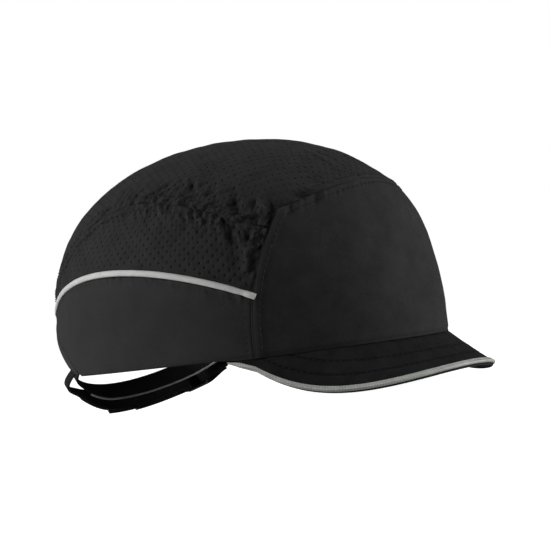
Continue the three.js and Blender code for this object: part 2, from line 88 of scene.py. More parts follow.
# Where the side panels end at the arch, as angles from the front.
SIDE_END = {"lower": 151.6, "upper": 154.3}
ARCH = {"half_angle": 58.0, "height": 44.0, "power": 1.6, "binding": 5.5}
BRIM = {"centre": 47.0, "reach": 97.0, "half_width": 80.0, "end_angle": 91.5, "end_reach": 0.3, "drop": 1.1,
        "allowance": 2.4, "front_slope": 31.4, "side_slope": 64.5, "stack": 3.9}
STRAP = {"y": 10.0, "z": 26.5, "tilt": 30.0, "radius": 100.0, "cloth": 1.4, "width": 14.0, "end": 54.0,
         "tuck_from": 30.0, "tuck": 10.0, "fold_from": 6.0, "fold_reach": 28.0, "bulge": 4.4}
LOOP = {"from": 27.4, "to": 36.4, "bar": 1.5, "inner": 101.2, "outer": 103.4, "clear": 0.6, "side": 2.0}
TAB = {"thick": 1.2, "turn": 35.6, "clear": 36.5, "lift": 3.8}
# How far out the middle of each of the strap's layers lies.
LAYER = {"loops": 100.7, "hook": 101.7, "tail": 103.0, "tab": 104.35, "returned": 105.0, "backing": 105.6}
NAPE_BAND_DEPTH = 4.6
CLOTH = 1.0
HEM = 1.0
SEAM_STEP = 0.4
# Turns angles round the rim into lengths.
RIM_RADIUS = 105.0
THREAD_PITCH = 0.75
STITCH = {"length": 2.5, "pitch": 3.4, "radius": 0.2}
PERFORATION = {"pitch": 4.0, "radius": 0.36, "margin": 2.4}
# A perforated sheet is a lattice of this spacing, with a hole in every other patch of four steps.
LATTICE = PERFORATION["pitch"] / math.sqrt(2) / 4
# How far each row of stitches lies from its seam.
ROW = {"front": 4.2, "front_low": 4.0, "brow": 4.2, "brow_top": 3.6, "ridge_top": 5.0, "ridge_side": 4.5,
       "piping": 4.0}
# Each side's name, the sign of its x and the seed of its cloth's unevenness.
SIDES = (("left", 1, 41), ("right", -1, 61))


# ---- numbers ---------------------------------------------------------------------------------------

def mix(a, b, t):
    return a + (b - a) * t


def smooth(t):
    t = np.clip(t, 0.0, 1.0)
    return t * t * (3 - 2 * t)


def bell(x, width):
    return np.exp(-((x / width) ** 2))


def unit(vectors):
    return vectors / np.linalg.norm(vectors, axis=-1, keepdims=True)


def grid(u, v):
    return np.meshgrid(u, v, indexing="ij")


def pairs(u, v):
    """Every pair of a u and a v, row by row."""
    return np.stack(grid(u, v), -1).reshape(-1, 2)


def flat_points(u, v):
    return np.stack([u, v, 0 * u], -1)


def length_along(points):
    """The length from the first point to each point of a path."""
    return np.concatenate([[0], np.cumsum(np.linalg.norm(np.diff(points, axis=0), axis=1))])


def points_at(places, along, points):
    """The points of a path at these places, where along says how far each of its own points is."""
    return np.stack([np.interp(places, along, points[:, k]) for k in range(points.shape[1])], -1)


def noise(points, size, seed):
    """Smooth noise from -1 to 1 whose features are about size across."""
    q = np.asarray(points, float) / size
    cell = np.floor(q).astype(np.int64)
    part = q - cell
    ease = part ** 3 * (part * (part * 6 - 15) + 10)
    total = np.zeros(len(q))
    for corner in np.ndindex(2, 2, 2):
        at = cell + corner
        mark = at @ np.array([374761393, 668265263, 1442695041]) + seed * 1274126177
        mark = (mark ^ (mark >> 13)) * 1103515245
        mark = (mark ^ (mark >> 17)) & 0xFFFF
        weight = np.where(np.array(corner) == 1, ease, 1 - ease).prod(axis=1)
        total += weight * (mark / 32767.5 - 1)
    return total


def turbulence(points, size, seed, octaves=3):
    total = np.zeros(len(points))
    turn = np.array([[0.8, 0.6, 0.0], [-0.48, 0.64, 0.6], [0.36, -0.48, 0.8]])
    q = np.asarray(points, float)
    for octave in range(octaves):
        total += noise(q, size / 2 ** octave, seed + octave) / 2 ** octave
        q = q @ turn
    return total


# ---- the crown surface and its seams ---------------------------------------------------------------

def crown(angle, z):
    """Points of the crown by their angle from the front and their height."""
    angle, z = np.broadcast_arrays(np.radians(np.asarray(angle, float)), np.asarray(z, float))
    ring = np.sqrt(1 - (np.maximum(z, 0) / HEIGHT) ** RISE)
    return np.stack([HALF_WIDTH * ring * np.sin(angle), -HALF_LENGTH * ring * np.cos(angle), z], -1)


def normal(points):
    lift = RISE * (np.maximum(points[..., 2], 0) / HEIGHT) ** (RISE - 1) / HEIGHT
    n = np.stack([2 * points[..., 0] / HALF_WIDTH ** 2, 2 * points[..., 1] / HALF_LENGTH ** 2, lift], -1)
    return unit(n)


def onto_crown(points):
    """The points of the crown on the rays from the origin through these points."""
    ring = (points[..., 0] / HALF_WIDTH) ** 2 + (points[..., 1] / HALF_LENGTH) ** 2
    lift = (np.maximum(points[..., 2], 0) / HEIGHT) ** RISE
    scale = np.ones(ring.shape)
    for _ in range(12):
        value = ring * scale ** 2 + lift * scale ** RISE - 1
        scale = scale - value / (2 * ring * scale + RISE * lift * scale ** (RISE - 1))
    return points * scale[..., None]


def outwards(points, distance):
    """The points, moved out from the crown by this distance."""
    return points + normal(points) * np.asarray(distance)[..., None]


def centripetal(points, count):
    """A centripetal Catmull-Rom curve through the points."""
    p = np.array(points, float)
    p = np.vstack([2 * p[0] - p[1], p, 2 * p[-1] - p[-2]])
    gap = np.maximum(np.linalg.norm(np.diff(p, axis=0), axis=1) ** 0.5, 1e-4)
    out = []
    for place in np.linspace(0, len(points) - 1, count):
        i = min(int(place), len(points) - 2)
        t = place - i
        a, b, c, d = p[i:i + 4]
        g0, g1, g2 = gap[i:i + 3]
        m1 = ((b - a) / g0 - (c - a) / (g0 + g1) + (c - b) / g1) * g1
        m2 = ((c - b) / g1 - (d - b) / (g1 + g2) + (d - c) / g2) * g1
        curve = b + m1 * t + (3 * (c - b) - 2 * m1 - m2) * t ** 2 + (2 * (b - c) + m1 + m2) * t ** 3
        out.append(curve)
    return np.array(out)


RIDGE_LINE = centripetal(RIDGE, 400)


def seam_angle(z):
    """The cheek seam's angle from the front, by its height."""
    fall = SEAM["rim_angle"] - SEAM["corner_angle"]
    return SEAM["rim_angle"] - fall * (np.asarray(z, float) / SEAM["corner_z"]) ** SEAM["bend"]


def seam_top(angle):
    """The brow seam's height, by its angle from the front."""
    fall = SEAM["top"] - SEAM["corner_z"]
    return SEAM["top"] - fall * (np.asarray(angle, float) / SEAM["corner_angle"]) ** 2


def piping_height(angle):
    off = np.asarray(angle, float) - PIPING["peak_angle"]
    return PIPING["peak"] - np.where(off < 0, PIPING["front_fall"], PIPING["rear_fall"]) * off ** 2


def arch_height(angle):
    off = np.abs(180 - np.abs(np.asarray(angle, float))) / ARCH["half_angle"]
    return np.where(off < 1, ARCH["height"] * (1 - np.minimum(off, 1) ** ARCH["power"]), 0.0)


PIPING_START = float(seam_angle(PIPING["peak"] / 2))
SEAM_LINES = {}


def search_tree(points):
    tree = kdtree.KDTree(len(points))
    for i, point in enumerate(points):
        tree.insert(point, i)
    tree.balance()
    return tree


def add_line(name, points):
    """Keeps a seam as closely spaced points, with its length so far and a tree to search it."""
    along = length_along(points)
    points = points_at(np.arange(0, along[-1], SEAM_STEP), along, points)
    SEAM_LINES[name] = (points, search_tree(points))


def near_line(name, points):
    """Distance of each point to a seam, and how far along the seam its nearest point is."""
    tree = SEAM_LINES[name][1]
    found = [tree.find(point) for point in points]
    return np.array([f[2] for f in found]), np.array([f[1] for f in found]) * SEAM_STEP


def make_lines():
    for side, hand, _ in SIDES:
        add_line(f"ridge_{side}", crown(hand * RIDGE_LINE[:, 0], RIDGE_LINE[:, 1]))
        z = np.linspace(0, SEAM["corner_z"], 200)
        add_line(f"front_{side}", crown(hand * seam_angle(z), z))
        angle = np.linspace(PIPING_START, PIPING["end_angle"], 300)
        add_line(f"piping_{side}", crown(hand * angle, piping_height(angle)))
    angle = np.linspace(-SEAM["corner_angle"], SEAM["corner_angle"], 300)
    add_line("brow", crown(angle, seam_top(angle)))
    angle = np.linspace(180 - ARCH["half_angle"], 180 + ARCH["half_angle"], 400)
    add_line("arch", crown(angle, arch_height(angle)))


make_lines()


# ---- meshes ----------------------------------------------------------------------------------------

def new_piece(name, points, faces, body, weave, node=None):
    """A mesh piece that rides on a body, and that stands for a node of the model or adds to it.

    Points are in millimetres, and weave has their places on the flat cloth.
    """
    mesh = bpy.data.meshes.new(name)
    mesh.from_pydata((np.asarray(points) * MM).tolist(), [], [list(map(int, f)) for f in faces])
    layer = mesh.uv_layers.new(name="weave")
    corner = np.zeros(len(mesh.loops), np.int32)
    mesh.loops.foreach_get("vertex_index", corner)
    layer.data.foreach_set("uv", np.asarray(weave, np.float32)[corner].ravel())
    mesh.polygons.foreach_set("use_smooth", [True] * len(mesh.polygons))
    mesh.validate()
    mesh.update()
    piece = bpy.data.objects.new(name, mesh)
    bpy.context.scene.collection.objects.link(piece)
    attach(piece, body)
    if node:
        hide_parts(node)
    return piece


def thickened(outer, inner, faces):
    """A closed shell: the faces on the outer points, copies on the inner ones, and walls at open edges."""
    faces = np.asarray(faces)
    count = len(outer)
    nxt = np.roll(faces, -1, axis=1)
    a, b = faces.ravel(), nxt.ravel()
    key, back = a * count + b, b * count + a
    open_edge = ~np.isin(key, back)
    a, b = a[open_edge], b[open_edge]
    walls = np.stack([b, a, a + count, b + count], -1)
    return np.vstack([outer, inner]), np.vstack([faces, faces[:, ::-1] + count, walls])


def grid_faces(rows, columns):
    i, j = grid(np.arange(rows - 1), np.arange(columns - 1))
    a = (i * columns + j).ravel()
    return np.stack([a, a + columns, a + columns + 1, a + 1], -1)


def turned_out(points, faces):
    """The faces, turned so that the closed mesh's volume is positive."""
    a, b, c = points[faces[:, 0]], points[faces[:, 1]], points[faces[:, 2]]
    d = points[faces[:, 3]]
    volume = (a * np.cross(b, c)).sum() + (a * np.cross(c, d)).sum()
    return faces if volume > 0 else faces[:, ::-1]


def two_faced(name, outer, inner, faces, body, weave, node=None):
    """A closed piece between an outer and an inner layer of the same faces."""
    points, faces = thickened(outer, inner, faces)
    weave = np.vstack([weave, weave])
    return new_piece(name, points, turned_out(points, faces), body, weave, node)


def flat_area(points, faces):
    a, b, c, d = (points[faces[:, k]] for k in range(4))
    return 0.5 * (np.linalg.norm(np.cross(c - a, d - b), axis=1)).sum()


def cloth_piece(name, node, base, faces, lift, weave, gather=None):
    """A cloth panel on the crown: its outer face lifted from it, its inner face a cloth's thickness in.

    gather says, from 0 to 1, how crinkled the cloth is at each point.
    """
    area = flat_area(base, faces) * MM * MM
    outer, inner = outwards(base, lift), outwards(base, lift - CLOTH)
    piece = two_faced(name, outer, inner, faces, "cap", weave, node)
    if gather is not None:
        layer = piece.data.attributes.new("gather", "FLOAT", "POINT")
        layer.data.foreach_set("value", np.concatenate([gather, gather]).astype(np.float32))


# ---- the shape of sewn cloth -----------------------------------------------------------------------

def sewn(points, line, reach, pucker, seed, row=None, raised=0.0, width=5.0, groove=0.6):
    """Height that a seam gives the cloth beside it: groove, raised allowance, stitch row and puckers."""
    lift = np.zeros(len(points))
    distance, along = near_line(line, points)
    close = distance < 3 * reach
    d, s = distance[close], along[close]
    flat = flat_points(s, d)
    h = raised * smooth((width - d) / 1.2) - groove * bell(d, 0.55)
    if row:
        tight = 0.65 + 0.35 * np.cos(2 * np.pi * s / STITCH["pitch"])
        h -= 0.4 * bell(d - row, 0.6) * tight
    skewed = flat * [1.0, 0.45, 1] + np.stack([0.5 * d, np.zeros(len(d)), np.zeros(len(d))], -1)
    crease = 1 - 2.2 * np.abs(noise(skewed, 5.2, seed + 2))
    ripple = 0.6 * noise(skewed, 3.4, seed) + 0.7 * noise(skewed, 7.5, seed + 5) + 0.6 * crease
    strength = 0.55 + 0.45 * noise(flat * [1, 0, 0], 22.0, seed + 9)
    h += pucker * ripple * strength * bell(d, reach) * smooth(d / 1.2)
    lift[close] = h
    return lift


def drift(points, seed, wide=0.32, fine=0.1):
    """The slow unevenness of cloth over a shell."""
    return wide * turbulence(points, 30.0, seed, 2) + fine * turbulence(points, 9.0, seed + 7, 2)


def fold(points, start, end, height, width):
    """A crease that runs between two places of the crown, each an angle from the front and a height."""
    a, b = crown(*start), crown(*end)
    t = np.clip(((points - a) @ (b - a)) / ((b - a) @ (b - a)), 0, 1)
    off = np.linalg.norm(points - (a + t[:, None] * (b - a)), axis=1)
    return height * bell(off, width) * np.sin(np.pi * np.clip(t, 0.04, 0.96))


# Creases of the cloth near the upper corners of the front panel: two places, a height and a width.
TOP_FOLDS = [((78.5, 100), (76.5, 90), 0.8, 1.6), ((73.4, 99), (72.3, 89), 0.8, 1.6),
             ((75.6, 97), (74.3, 89), -0.7, 1.6), ((63.9, 96), (64.6, 82), 0.9, 1.7),
             ((53.8, 100), (57.1, 75.5), 0.8, 2.0), ((59.4, 93), (59, 76), -1.2, 2.6),
             ((67.5, 93), (68.5, 85), -0.6, 1.8), ((52.4, 84), (53.7, 71.5), -0.9, 1.8),
             ((46.8, 82), (49, 71), -1.3, 2.4), ((49.9, 84), (51.2, 73), 1.0, 1.5),
             ((14.5, 107), (13.1, 92), 1.2, 1.4), ((0.5, 107), (1.7, 92), 1.2, 1.4),
             ((9, 107), (8, 92), -0.9, 1.9), ((5, 106), (4.5, 95), 0.5, 1.2),
             ((90, 97), (56, 84), -0.9, 6.0), ((122, 86), (96, 91), 0.7, 1.3),
             ((100, 93), (118, 88), -0.7, 2.0)]
SIDE_FOLDS = [((61.5, 70), (60.6, 42), -1.3, 4.2), ((57, 60), (58.8, 41), 1.1, 1.7),
              ((54, 66), (57, 56), 0.9, 1.4), ((55.5, 67), (58.5, 57), -0.7, 1.3),
              ((83.3, 79), (76.1, 67.4), 0.6, 1.7), ((95, 84), (109, 80), -0.7, 2.2),
              ((66, 76), (72, 66), 0.5, 2.2), ((72, 78), (80, 64), -0.4, 2.6),
              ((112, 80), (122, 72), -0.6, 2.4)]
FRONT_FOLDS = [((44.5, 72), (38, 76), -0.8, 2.6), ((41, 70), (35, 78), 0.6, 1.8),
               ((30, 76), (27, 81), 0.6, 1.6), ((33, 74), (31, 80), -0.6, 1.6),
               ((36, 60), (20, 30), -0.5, 9.0), ((12, 60), (2, 70), 0.4, 5.0)]


def bunching(points, line, middle, spread, reach, height, seed):
    """Fine wrinkles that run away from a seam, strongest in the middle of its bunched length."""
    lift = np.zeros(len(points))
    distance, along = near_line(line, points)
    close = distance < 2.5 * reach
    d, s = distance[close], along[close]
    flat = flat_points(s + 0.5 * d, 0.35 * d)
    fine = noise(flat, 2.0, seed) + 0.7 * noise(flat * [1, 2.4, 1], 3.4, seed + 1)
    fine -= 0.9 * np.abs(noise(flat, 4.4, seed + 2))
    lift[close] = height * fine * bell(d, reach) * bell(s - middle, spread) * smooth(d / 1.0)
    return lift


def crinkled(points):
    """How crinkled the perforated cloth is, from 0 to 1: along the ridge seams and at the panel's corners."""
    total = np.zeros(len(points))
    for side in ("left", "right"):
        distance, along = near_line(f"ridge_{side}", points)
        total += bell(distance, 11.0) * bell(along - 30.0, 62.0)
        distance, along = near_line(f"front_{side}", points)
        total += 0.8 * bell(distance, 7.0) * bell(along - 66.0, 24.0)
    patchy = 0.75 + 0.5 * noise(points, 9.0, 91)
    return np.clip(total * patchy, 0, 1)


def folded(points, folds, hand):
    """The height of all these creases, drawn for the right side and mirrored for the left one."""
    total = np.zeros(len(points))
    for start, end, height, width in folds:
        total += fold(points, (hand * start[0], start[1]), (hand * end[0], end[1]), height, width)
    return total


def front_lift(points):
    """How far the front panel's cloth stands off the plain crown."""
    lift = 0.3 + drift(points, 3, 0.55, 0.1)
    lift += folded(points, FRONT_FOLDS, -1) + folded(points, FRONT_FOLDS, 1)
    for side, seed in (("left", 11), ("right", 12)):
        lift += sewn(points, f"front_{side}", 5.0, 0.35, seed, ROW["front"], raised=0.5, width=5.6)
    lift += sewn(points, "brow", 7.0, 0.7, 13, ROW["brow"], raised=0.35)
    brow_length = SEAM_STEP * len(SEAM_LINES["brow"][0])
    for middle in (14.0, brow_length - 14.0):
        lift += bunching(points, "brow", middle, 20.0, 6.0, 0.5, 14)
    lift -= 0.5 * bell(points[:, 2], 1.0)
    return lift


def top_lift(points):
    """How far the top strip's cloth stands off the plain crown."""
    lift = drift(points, 23, 0.5, 0.24) + folded(points, TOP_FOLDS, -1) + folded(points, TOP_FOLDS, 1)
    for side, seed in (("left", 31), ("right", 32)):
        lift += sewn(points, f"ridge_{side}", 10.0, 1.9, seed, ROW["ridge_top"], raised=0.5, width=6.0,
                     groove=0.3)
        lift += sewn(points, f"front_{side}", 7.0, 1.0, seed + 50)
        lift += bunching(points, f"ridge_{side}", 30.0, 60.0, 14.0, 1.05, seed + 60)
    lift += sewn(points, "brow", 9.5, 1.0, 33, ROW["brow_top"], raised=0.35, groove=0.4)
    lift += sewn(points, "arch", 5.0, 0.2, 34)
    return lift


def upper_side_lift(side, seed):
    """The same for an upper side panel: a function of points on it."""
    def lift_at(points):
        hand = 1 if side == "left" else -1
        lift = drift(points, seed, 0.5, 0.22) + folded(points, SIDE_FOLDS, hand)
        lift += sewn(points, f"ridge_{side}", 9.0, 1.6, seed + 1, ROW["ridge_side"], raised=0.5, width=5.6,
                     groove=0.3)
        lift += sewn(points, f"front_{side}", 8.5, 1.2, seed + 2)
        lift += bunching(points, f"ridge_{side}", 34.0, 62.0, 10.0, 0.95, seed + 60)
        lift += bunching(points, f"front_{side}", 58.0, 22.0, 7.5, 0.8, seed + 70)
        lift += sewn(points, f"piping_{side}", 4.5, 0.18, seed + 3)
        lift += sewn(points, "arch", 5.0, 0.2, seed + 4)
        return lift
    return lift_at


def lower_side_lift(side, seed):
    """The same for a lower side panel."""
    def lift_at(points):
        lift = drift(points, seed, 0.3, 0.05)
        lift += sewn(points, f"front_{side}", 4.0, 0.15, seed + 2, ROW["front_low"], raised=0.25)
        lift += sewn(points, f"piping_{side}", 6.0, 0.6, seed + 3, ROW["piping"])
        lift += bunching(points, f"piping_{side}", 60.0, 80.0, 3.6, 0.6, seed + 60)
        lift += sewn(points, "arch", 5.0, 0.15, seed + 4)
        lift -= 0.6 * bell(points[:, 2], 0.9)
        return lift
    return lift_at


# ---- plain panels: a grid between four seams -------------------------------------------------------

def between(low, high, near, far, rows, columns):
    """Crown points on a grid between four curves, each a function of an array from 0 to 1."""
    us, vs = np.linspace(0, 1, rows), np.linspace(0, 1, columns)
    u, v = us[:, None, None], vs[None, :, None]
    bottom, top, start, end = low(us), high(us), near(vs), far(vs)
    p = bottom[:, None] * (1 - v) + top[:, None] * v + start[None] * (1 - u) + end[None] * u
    p -= bottom[0] * (1 - u) * (1 - v) + bottom[-1] * u * (1 - v)
    p -= top[0] * (1 - u) * v + top[-1] * u * v
    return onto_crown(p).reshape(-1, 3)


def flat_weave(points, rows, columns):
    """Where each grid point lies on the flat cloth, in millimetres."""
    p = points.reshape(rows, columns, 3)
    return pairs(length_along(p[:, columns // 2]), length_along(p[rows // 2]))


def plain_panel(name, node, curves, rows, columns, lift_at):
    base = between(*curves, rows, columns)
    weave = flat_weave(base, rows, columns)
    cloth_piece(name, node, base, grid_faces(rows, columns), lift_at(base), weave)


def make_front_panel():
    overlap = 0.35

    def side(hand):
        def line(v):
            z = mix(-HEM, SEAM["corner_z"], v)
            return crown(hand * (seam_angle(np.maximum(z, 0)) + overlap), z)
        return line

    def low(u):
        return crown(mix(-1, 1, u) * (SEAM["rim_angle"] + overlap), 0 * u - HEM)

    def high(u):
        angle = mix(-1, 1, u) * SEAM["corner_angle"]
        return crown(angle * (1 + overlap / SEAM["corner_angle"]), seam_top(angle))

    curves = (low, high, side(-1), side(1))
    plain_panel("front_panel_cloth", "front_panel", curves, 290, 112, front_lift)


def make_lower_side(side, hand, seed):
    gap = PIPING["half_width"]
    start_z = float(piping_height(PIPING_START)) - gap
    rear = SIDE_END["lower"]

    def low(u):
        angle = mix(SEAM["rim_angle"], rear, u)
        return crown(hand * angle, arch_height(angle) - HEM * smooth((72 - angle) / 8))

    def high(u):
        angle = mix(float(seam_angle(start_z)), rear, u)
        return crown(hand * angle, piping_height(angle) - gap)

    def near(v):
        z = mix(-HEM, start_z, v)
        return crown(hand * seam_angle(np.maximum(z, 0)), z)

    def far(v):
        return crown(hand * rear, mix(float(arch_height(rear)), float(piping_height(rear)) - gap, v))

    plain_panel(f"lower_side_cloth_{side}", f"lower_side_panel_{side}", (low, high, near, far), 230, 64,
                lower_side_lift(side, seed))


# ---- perforated panels: an even lattice, cut to the outline ----------------------------------------

def side_map(hand):
    """Places of the crown's side as lengths along the rim and up the side, both ways."""
    angles = np.linspace(0, 180, 721)
    along = length_along(crown(angles, 0 * angles))
    heights = np.linspace(0, HEIGHT * 0.97, 600)
    up = length_along(crown(90.0, heights))

    def place(flat):
        return crown(hand * np.interp(flat[:, 0], along, angles), np.interp(flat[:, 1], up, heights))

    def unroll(angle, z):
        return np.stack([np.interp(angle, angles, along), np.interp(z, heights, up)], -1)

    return place, unroll


def top_map():
    """Places of the crown's top as lengths across from its middle and along its middle, both ways."""
    phi = np.linspace(0, np.pi / 2 * 0.995, 500)
    y = HALF_LENGTH * np.sin(np.linspace(-np.pi / 2 * 0.97, np.pi / 2 * 0.999, 500))
    z = HEIGHT * (1 - (y / HALF_LENGTH) ** 2) ** (1 / RISE)
    along = np.concatenate([[0], np.cumsum(np.hypot(np.diff(y), np.diff(z)))])
    along -= np.interp(0, y, along)

    def section(at_y):
        k = np.sqrt(1 - (at_y / HALF_LENGTH) ** 2)[:, None]
        x = HALF_WIDTH * k * np.sin(phi)
        up = HEIGHT * (k * np.cos(phi)) ** (2 / RISE)
        reach = np.hypot(np.diff(x, axis=1), np.diff(up, axis=1)).cumsum(axis=1)
        return x, np.hstack([np.zeros((len(at_y), 1)), reach])

    rows = np.linspace(along[2], along[-3], 400)
    row_x, row_reach = section(np.interp(rows, along, y))
    reaches = np.linspace(0, 130, 400)
    table = np.array([np.interp(reaches, r, x) for x, r in zip(row_x, row_reach)])

    def place(flat):
        across, sign = np.abs(flat[:, 0]), np.sign(flat[:, 0])
        i = np.clip((flat[:, 1] - rows[0]) / (rows[1] - rows[0]), 0, len(rows) - 1.001)
        j = np.clip(across / (reaches[1] - reaches[0]), 0, len(reaches) - 1.001)
        i0, j0 = i.astype(int), j.astype(int)
        a, b = i - i0, j - j0
        x = (table[i0, j0] * (1 - a) + table[i0 + 1, j0] * a) * (1 - b)
        x += (table[i0, j0 + 1] * (1 - a) + table[i0 + 1, j0 + 1] * a) * b
        at_y = np.interp(flat[:, 1], along, y)
        left = np.maximum(1 - (x / HALF_WIDTH) ** 2 - (at_y / HALF_LENGTH) ** 2, 0)
        return np.stack([sign * x, at_y, HEIGHT * left ** (1 / RISE)], -1)

    def unroll(points):
        x, reach = section(points[:, 1])
        across = np.array([np.interp(abs(p), xs, r) for p, xs, r in zip(points[:, 0], x, reach)])
        return np.stack([np.sign(points[:, 0]) * across, np.interp(points[:, 1], y, along)], -1)

    return place, unroll


def inside(points, outline):
    """Whether each flat point lies within the closed outline."""
    x, y = points[:, 0], points[:, 1]
    hits = np.zeros(len(points), bool)
    for (ax, ay), (bx, by) in zip(outline, np.roll(outline, -1, axis=0)):
        if ay == by:
            continue
        crosses = (ay > y) != (by > y)
        hits ^= crosses & (x < (bx - ax) * (y - ay) / (by - ay) + ax)
    return hits


def evenly(outline, step):
    closed = np.vstack([outline, outline[:1]])
    along = length_along(closed)
    return points_at(np.arange(0, along[-1], step), along, closed)


def punched(points, xs, ys, kept, tree):
    """Opens a round hole in every other patch of 4 x 4 faces, and returns which faces the holes take."""
    full = kept.reshape(len(xs) - 1, len(ys) - 1)
    holes = np.zeros_like(full)
    around = [(di, dj) for di, dj in np.ndindex(3, 3) if (di, dj) != (1, 1)]
    for i, j in np.ndindex((len(xs) - 1) // 4, (len(ys) - 1) // 4):
        patch = full[4 * i:4 * i + 4, 4 * j:4 * j + 4]
        if (i + j + (xs[0] + ys[0]) // 4) % 2 or not patch.all():
            continue
        centre = np.array([xs[4 * i + 2], ys[4 * j + 2]]) * LATTICE
        if tree.find((*centre, 0))[2] < PERFORATION["margin"]:
            continue
        holes[4 * i + 1:4 * i + 3, 4 * j + 1:4 * j + 3] = True
        for di, dj in around:
            at = (4 * i + 1 + di) * len(ys) + 4 * j + 1 + dj
            points[at] = centre + unit(np.array([di - 1, dj - 1], float)) * PERFORATION["radius"]
    return holes.ravel()


def drawn_to_edge(points, faces, kept, tree):
    """Moves the points on the border of the kept faces onto the outline."""
    uses = np.bincount(faces[kept].ravel(), minlength=len(points))
    all_uses = np.bincount(faces.ravel(), minlength=len(points))
    for at in np.flatnonzero((uses > 0) & (uses < all_uses)):
        points[at] = tree.find((*points[at], 0))[0][:2]


def perforated(outline):
    """Flat points and faces of a sheet with rows of round holes, cut to the outline."""
    patch = 4 * LATTICE
    edge = evenly(outline, 0.25)
    low = np.floor(edge.min(axis=0) / patch).astype(int) * 4 - 4
    high = np.ceil(edge.max(axis=0) / patch).astype(int) * 4 + 4
    xs, ys = np.arange(low[0], high[0] + 1), np.arange(low[1], high[1] + 1)
    points = pairs(xs, ys) * LATTICE
    faces = grid_faces(len(xs), len(ys))
    kept = inside(points[faces].mean(axis=1), evenly(outline, 1.0))
    tree = search_tree(flat_points(*edge.T))
    holes = punched(points, xs, ys, kept, tree)
    drawn_to_edge(points, faces, kept, tree)
    faces = faces[kept & ~holes]
    used = np.unique(faces)
    place = np.zeros(len(points), int)
    place[used] = np.arange(len(used))
    return points[used], place[faces]


def make_top_strip():
    place, unroll = top_map()
    z = np.linspace(SEAM["corner_z"], RIDGE[0][1], 20)
    hands = {hand: [crown(hand * seam_angle(z), z), crown(hand * RIDGE_LINE[:, 0], RIDGE_LINE[:, 1])]
             for hand in (-1, 1)}
    angle = np.linspace(-SEAM["corner_angle"], SEAM["corner_angle"], 120)
    brow = crown(angle, seam_top(angle))
    rear_angle = np.linspace(RIDGE[-1][0], 360 - RIDGE[-1][0], 60)
    rear = crown(rear_angle, arch_height(rear_angle))
    outline = np.vstack([brow, *hands[1], rear, *[part[::-1] for part in hands[-1][::-1]]])
    flat, faces = perforated(unroll(outline))
    base = place(flat)
    cloth_piece("top_strip_cloth", "top_strip", base, faces, top_lift(base), flat,
                gather=crinkled(base))


def make_upper_side(side, hand, seed):
    place, unroll = side_map(hand)
    gap = PIPING["half_width"]
    start_z = float(piping_height(PIPING_START)) + gap
    z = np.linspace(start_z, RIDGE[0][1], 60)
    rear_angle = np.linspace(RIDGE[-1][0], SIDE_END["upper"], 40)
    low_angle = np.linspace(SIDE_END["upper"], float(seam_angle(start_z)), 200)
    outline = np.vstack([
        unroll(seam_angle(z), z),
        unroll(RIDGE_LINE[:, 0], RIDGE_LINE[:, 1]),
        unroll(rear_angle, arch_height(rear_angle)),
        unroll(low_angle, np.maximum(piping_height(low_angle) + gap, arch_height(low_angle))),
    ])
    flat, faces = perforated(outline)
    base = place(flat)
    cloth_piece(f"upper_side_cloth_{side}", f"upper_side_panel_{side}", base, faces,
                upper_side_lift(side, seed)(base), flat, gather=crinkled(base))


# ---- strips swept along a path ---------------------------------------------------------------------

def sweep(name, node, sections, body, closed=False):
    """A closed solid through rings of points, one ring for each step of the path."""
    count, corners = sections.shape[:2]
    points = sections.reshape(-1, 3)
    last = count if closed else count - 1
    i, j = grid(np.arange(last), np.arange(corners))
    a, b = i * corners + j, i * corners + (j + 1) % corners
    c, d = (b + corners) % len(points), (a + corners) % len(points)
    faces = turned_out(points, np.stack([a, b, c, d], -1).reshape(-1, 4))
    round_it = np.linalg.norm(np.diff(sections[0], axis=0, append=sections[0][:1]), axis=1).cumsum()
    along = length_along(sections.mean(axis=1))
    weave = pairs(along, round_it)
    ends = []
    if not closed:
        ring = np.arange(corners)
        first_edges = set(zip(faces[:corners].ravel(), np.roll(faces[:corners], -1, axis=1).ravel()))
        if (0, 1) in first_edges:
            ring = ring[::-1]
        ends = [ring.tolist(), (ring[::-1] + (count - 1) * corners).tolist()]
    new_piece(name, points, [*faces.tolist(), *ends], body, weave, node)


def on_path(path, out, section):
    """Rings around a path: section is a list of (sideways, outwards) offsets from each of its points."""
    sideways = unit(np.cross(unit(np.gradient(path, axis=0)), out))
    section = np.asarray(section, float)
    return path[:, None] + sideways[:, None] * section[None, :, :1] + out[:, None] * section[None, :, 1:]


def rounded_bar(width, thick, steps=9):
    """A flat bar's outline with round edges, as (across, through) points round its middle."""
    corner = 0.4
    half_w, half_t = width / 2 - corner * 0.6, thick / 2
    top = [(x * half_w, half_t) for x in np.linspace(-1, 1, steps)]
    nose = [(half_w + corner * math.cos(a), half_t * math.sin(a)) for a in (0.9, 0.3, -0.3, -0.9)]
    return [*top, *nose, *[(-x, -t) for x, t in top], *[(-x, -t) for x, t in nose]]


# ---- piping and bindings ---------------------------------------------------------------------------

def make_piping(side, hand):
    angle = np.linspace(PIPING["start_angle"], PIPING["end_angle"] + PIPING["tail"], 260)
    path = crown(hand * angle, piping_height(angle) + PIPING["above_seam"])
    front_step = 0.75 * smooth((60.5 - angle) / 2.0)
    end_dip = 0.6 * smooth((angle - PIPING["end_angle"]) / 3)
    path = outwards(path, front_step - end_dip)
    half = PIPING["half_width"] * 0.96
    xs = np.linspace(-1, 1, 11)
    top = [(x * half, 0.15 + 0.8 * (1 - x * x) ** 0.6) for x in xs]
    rings = on_path(path, normal(path), [*top, (half, -0.4), (-half, -0.4)])
    sweep(f"piping_tape_{side}", f"reflective_piping_{side}", rings, "cap")


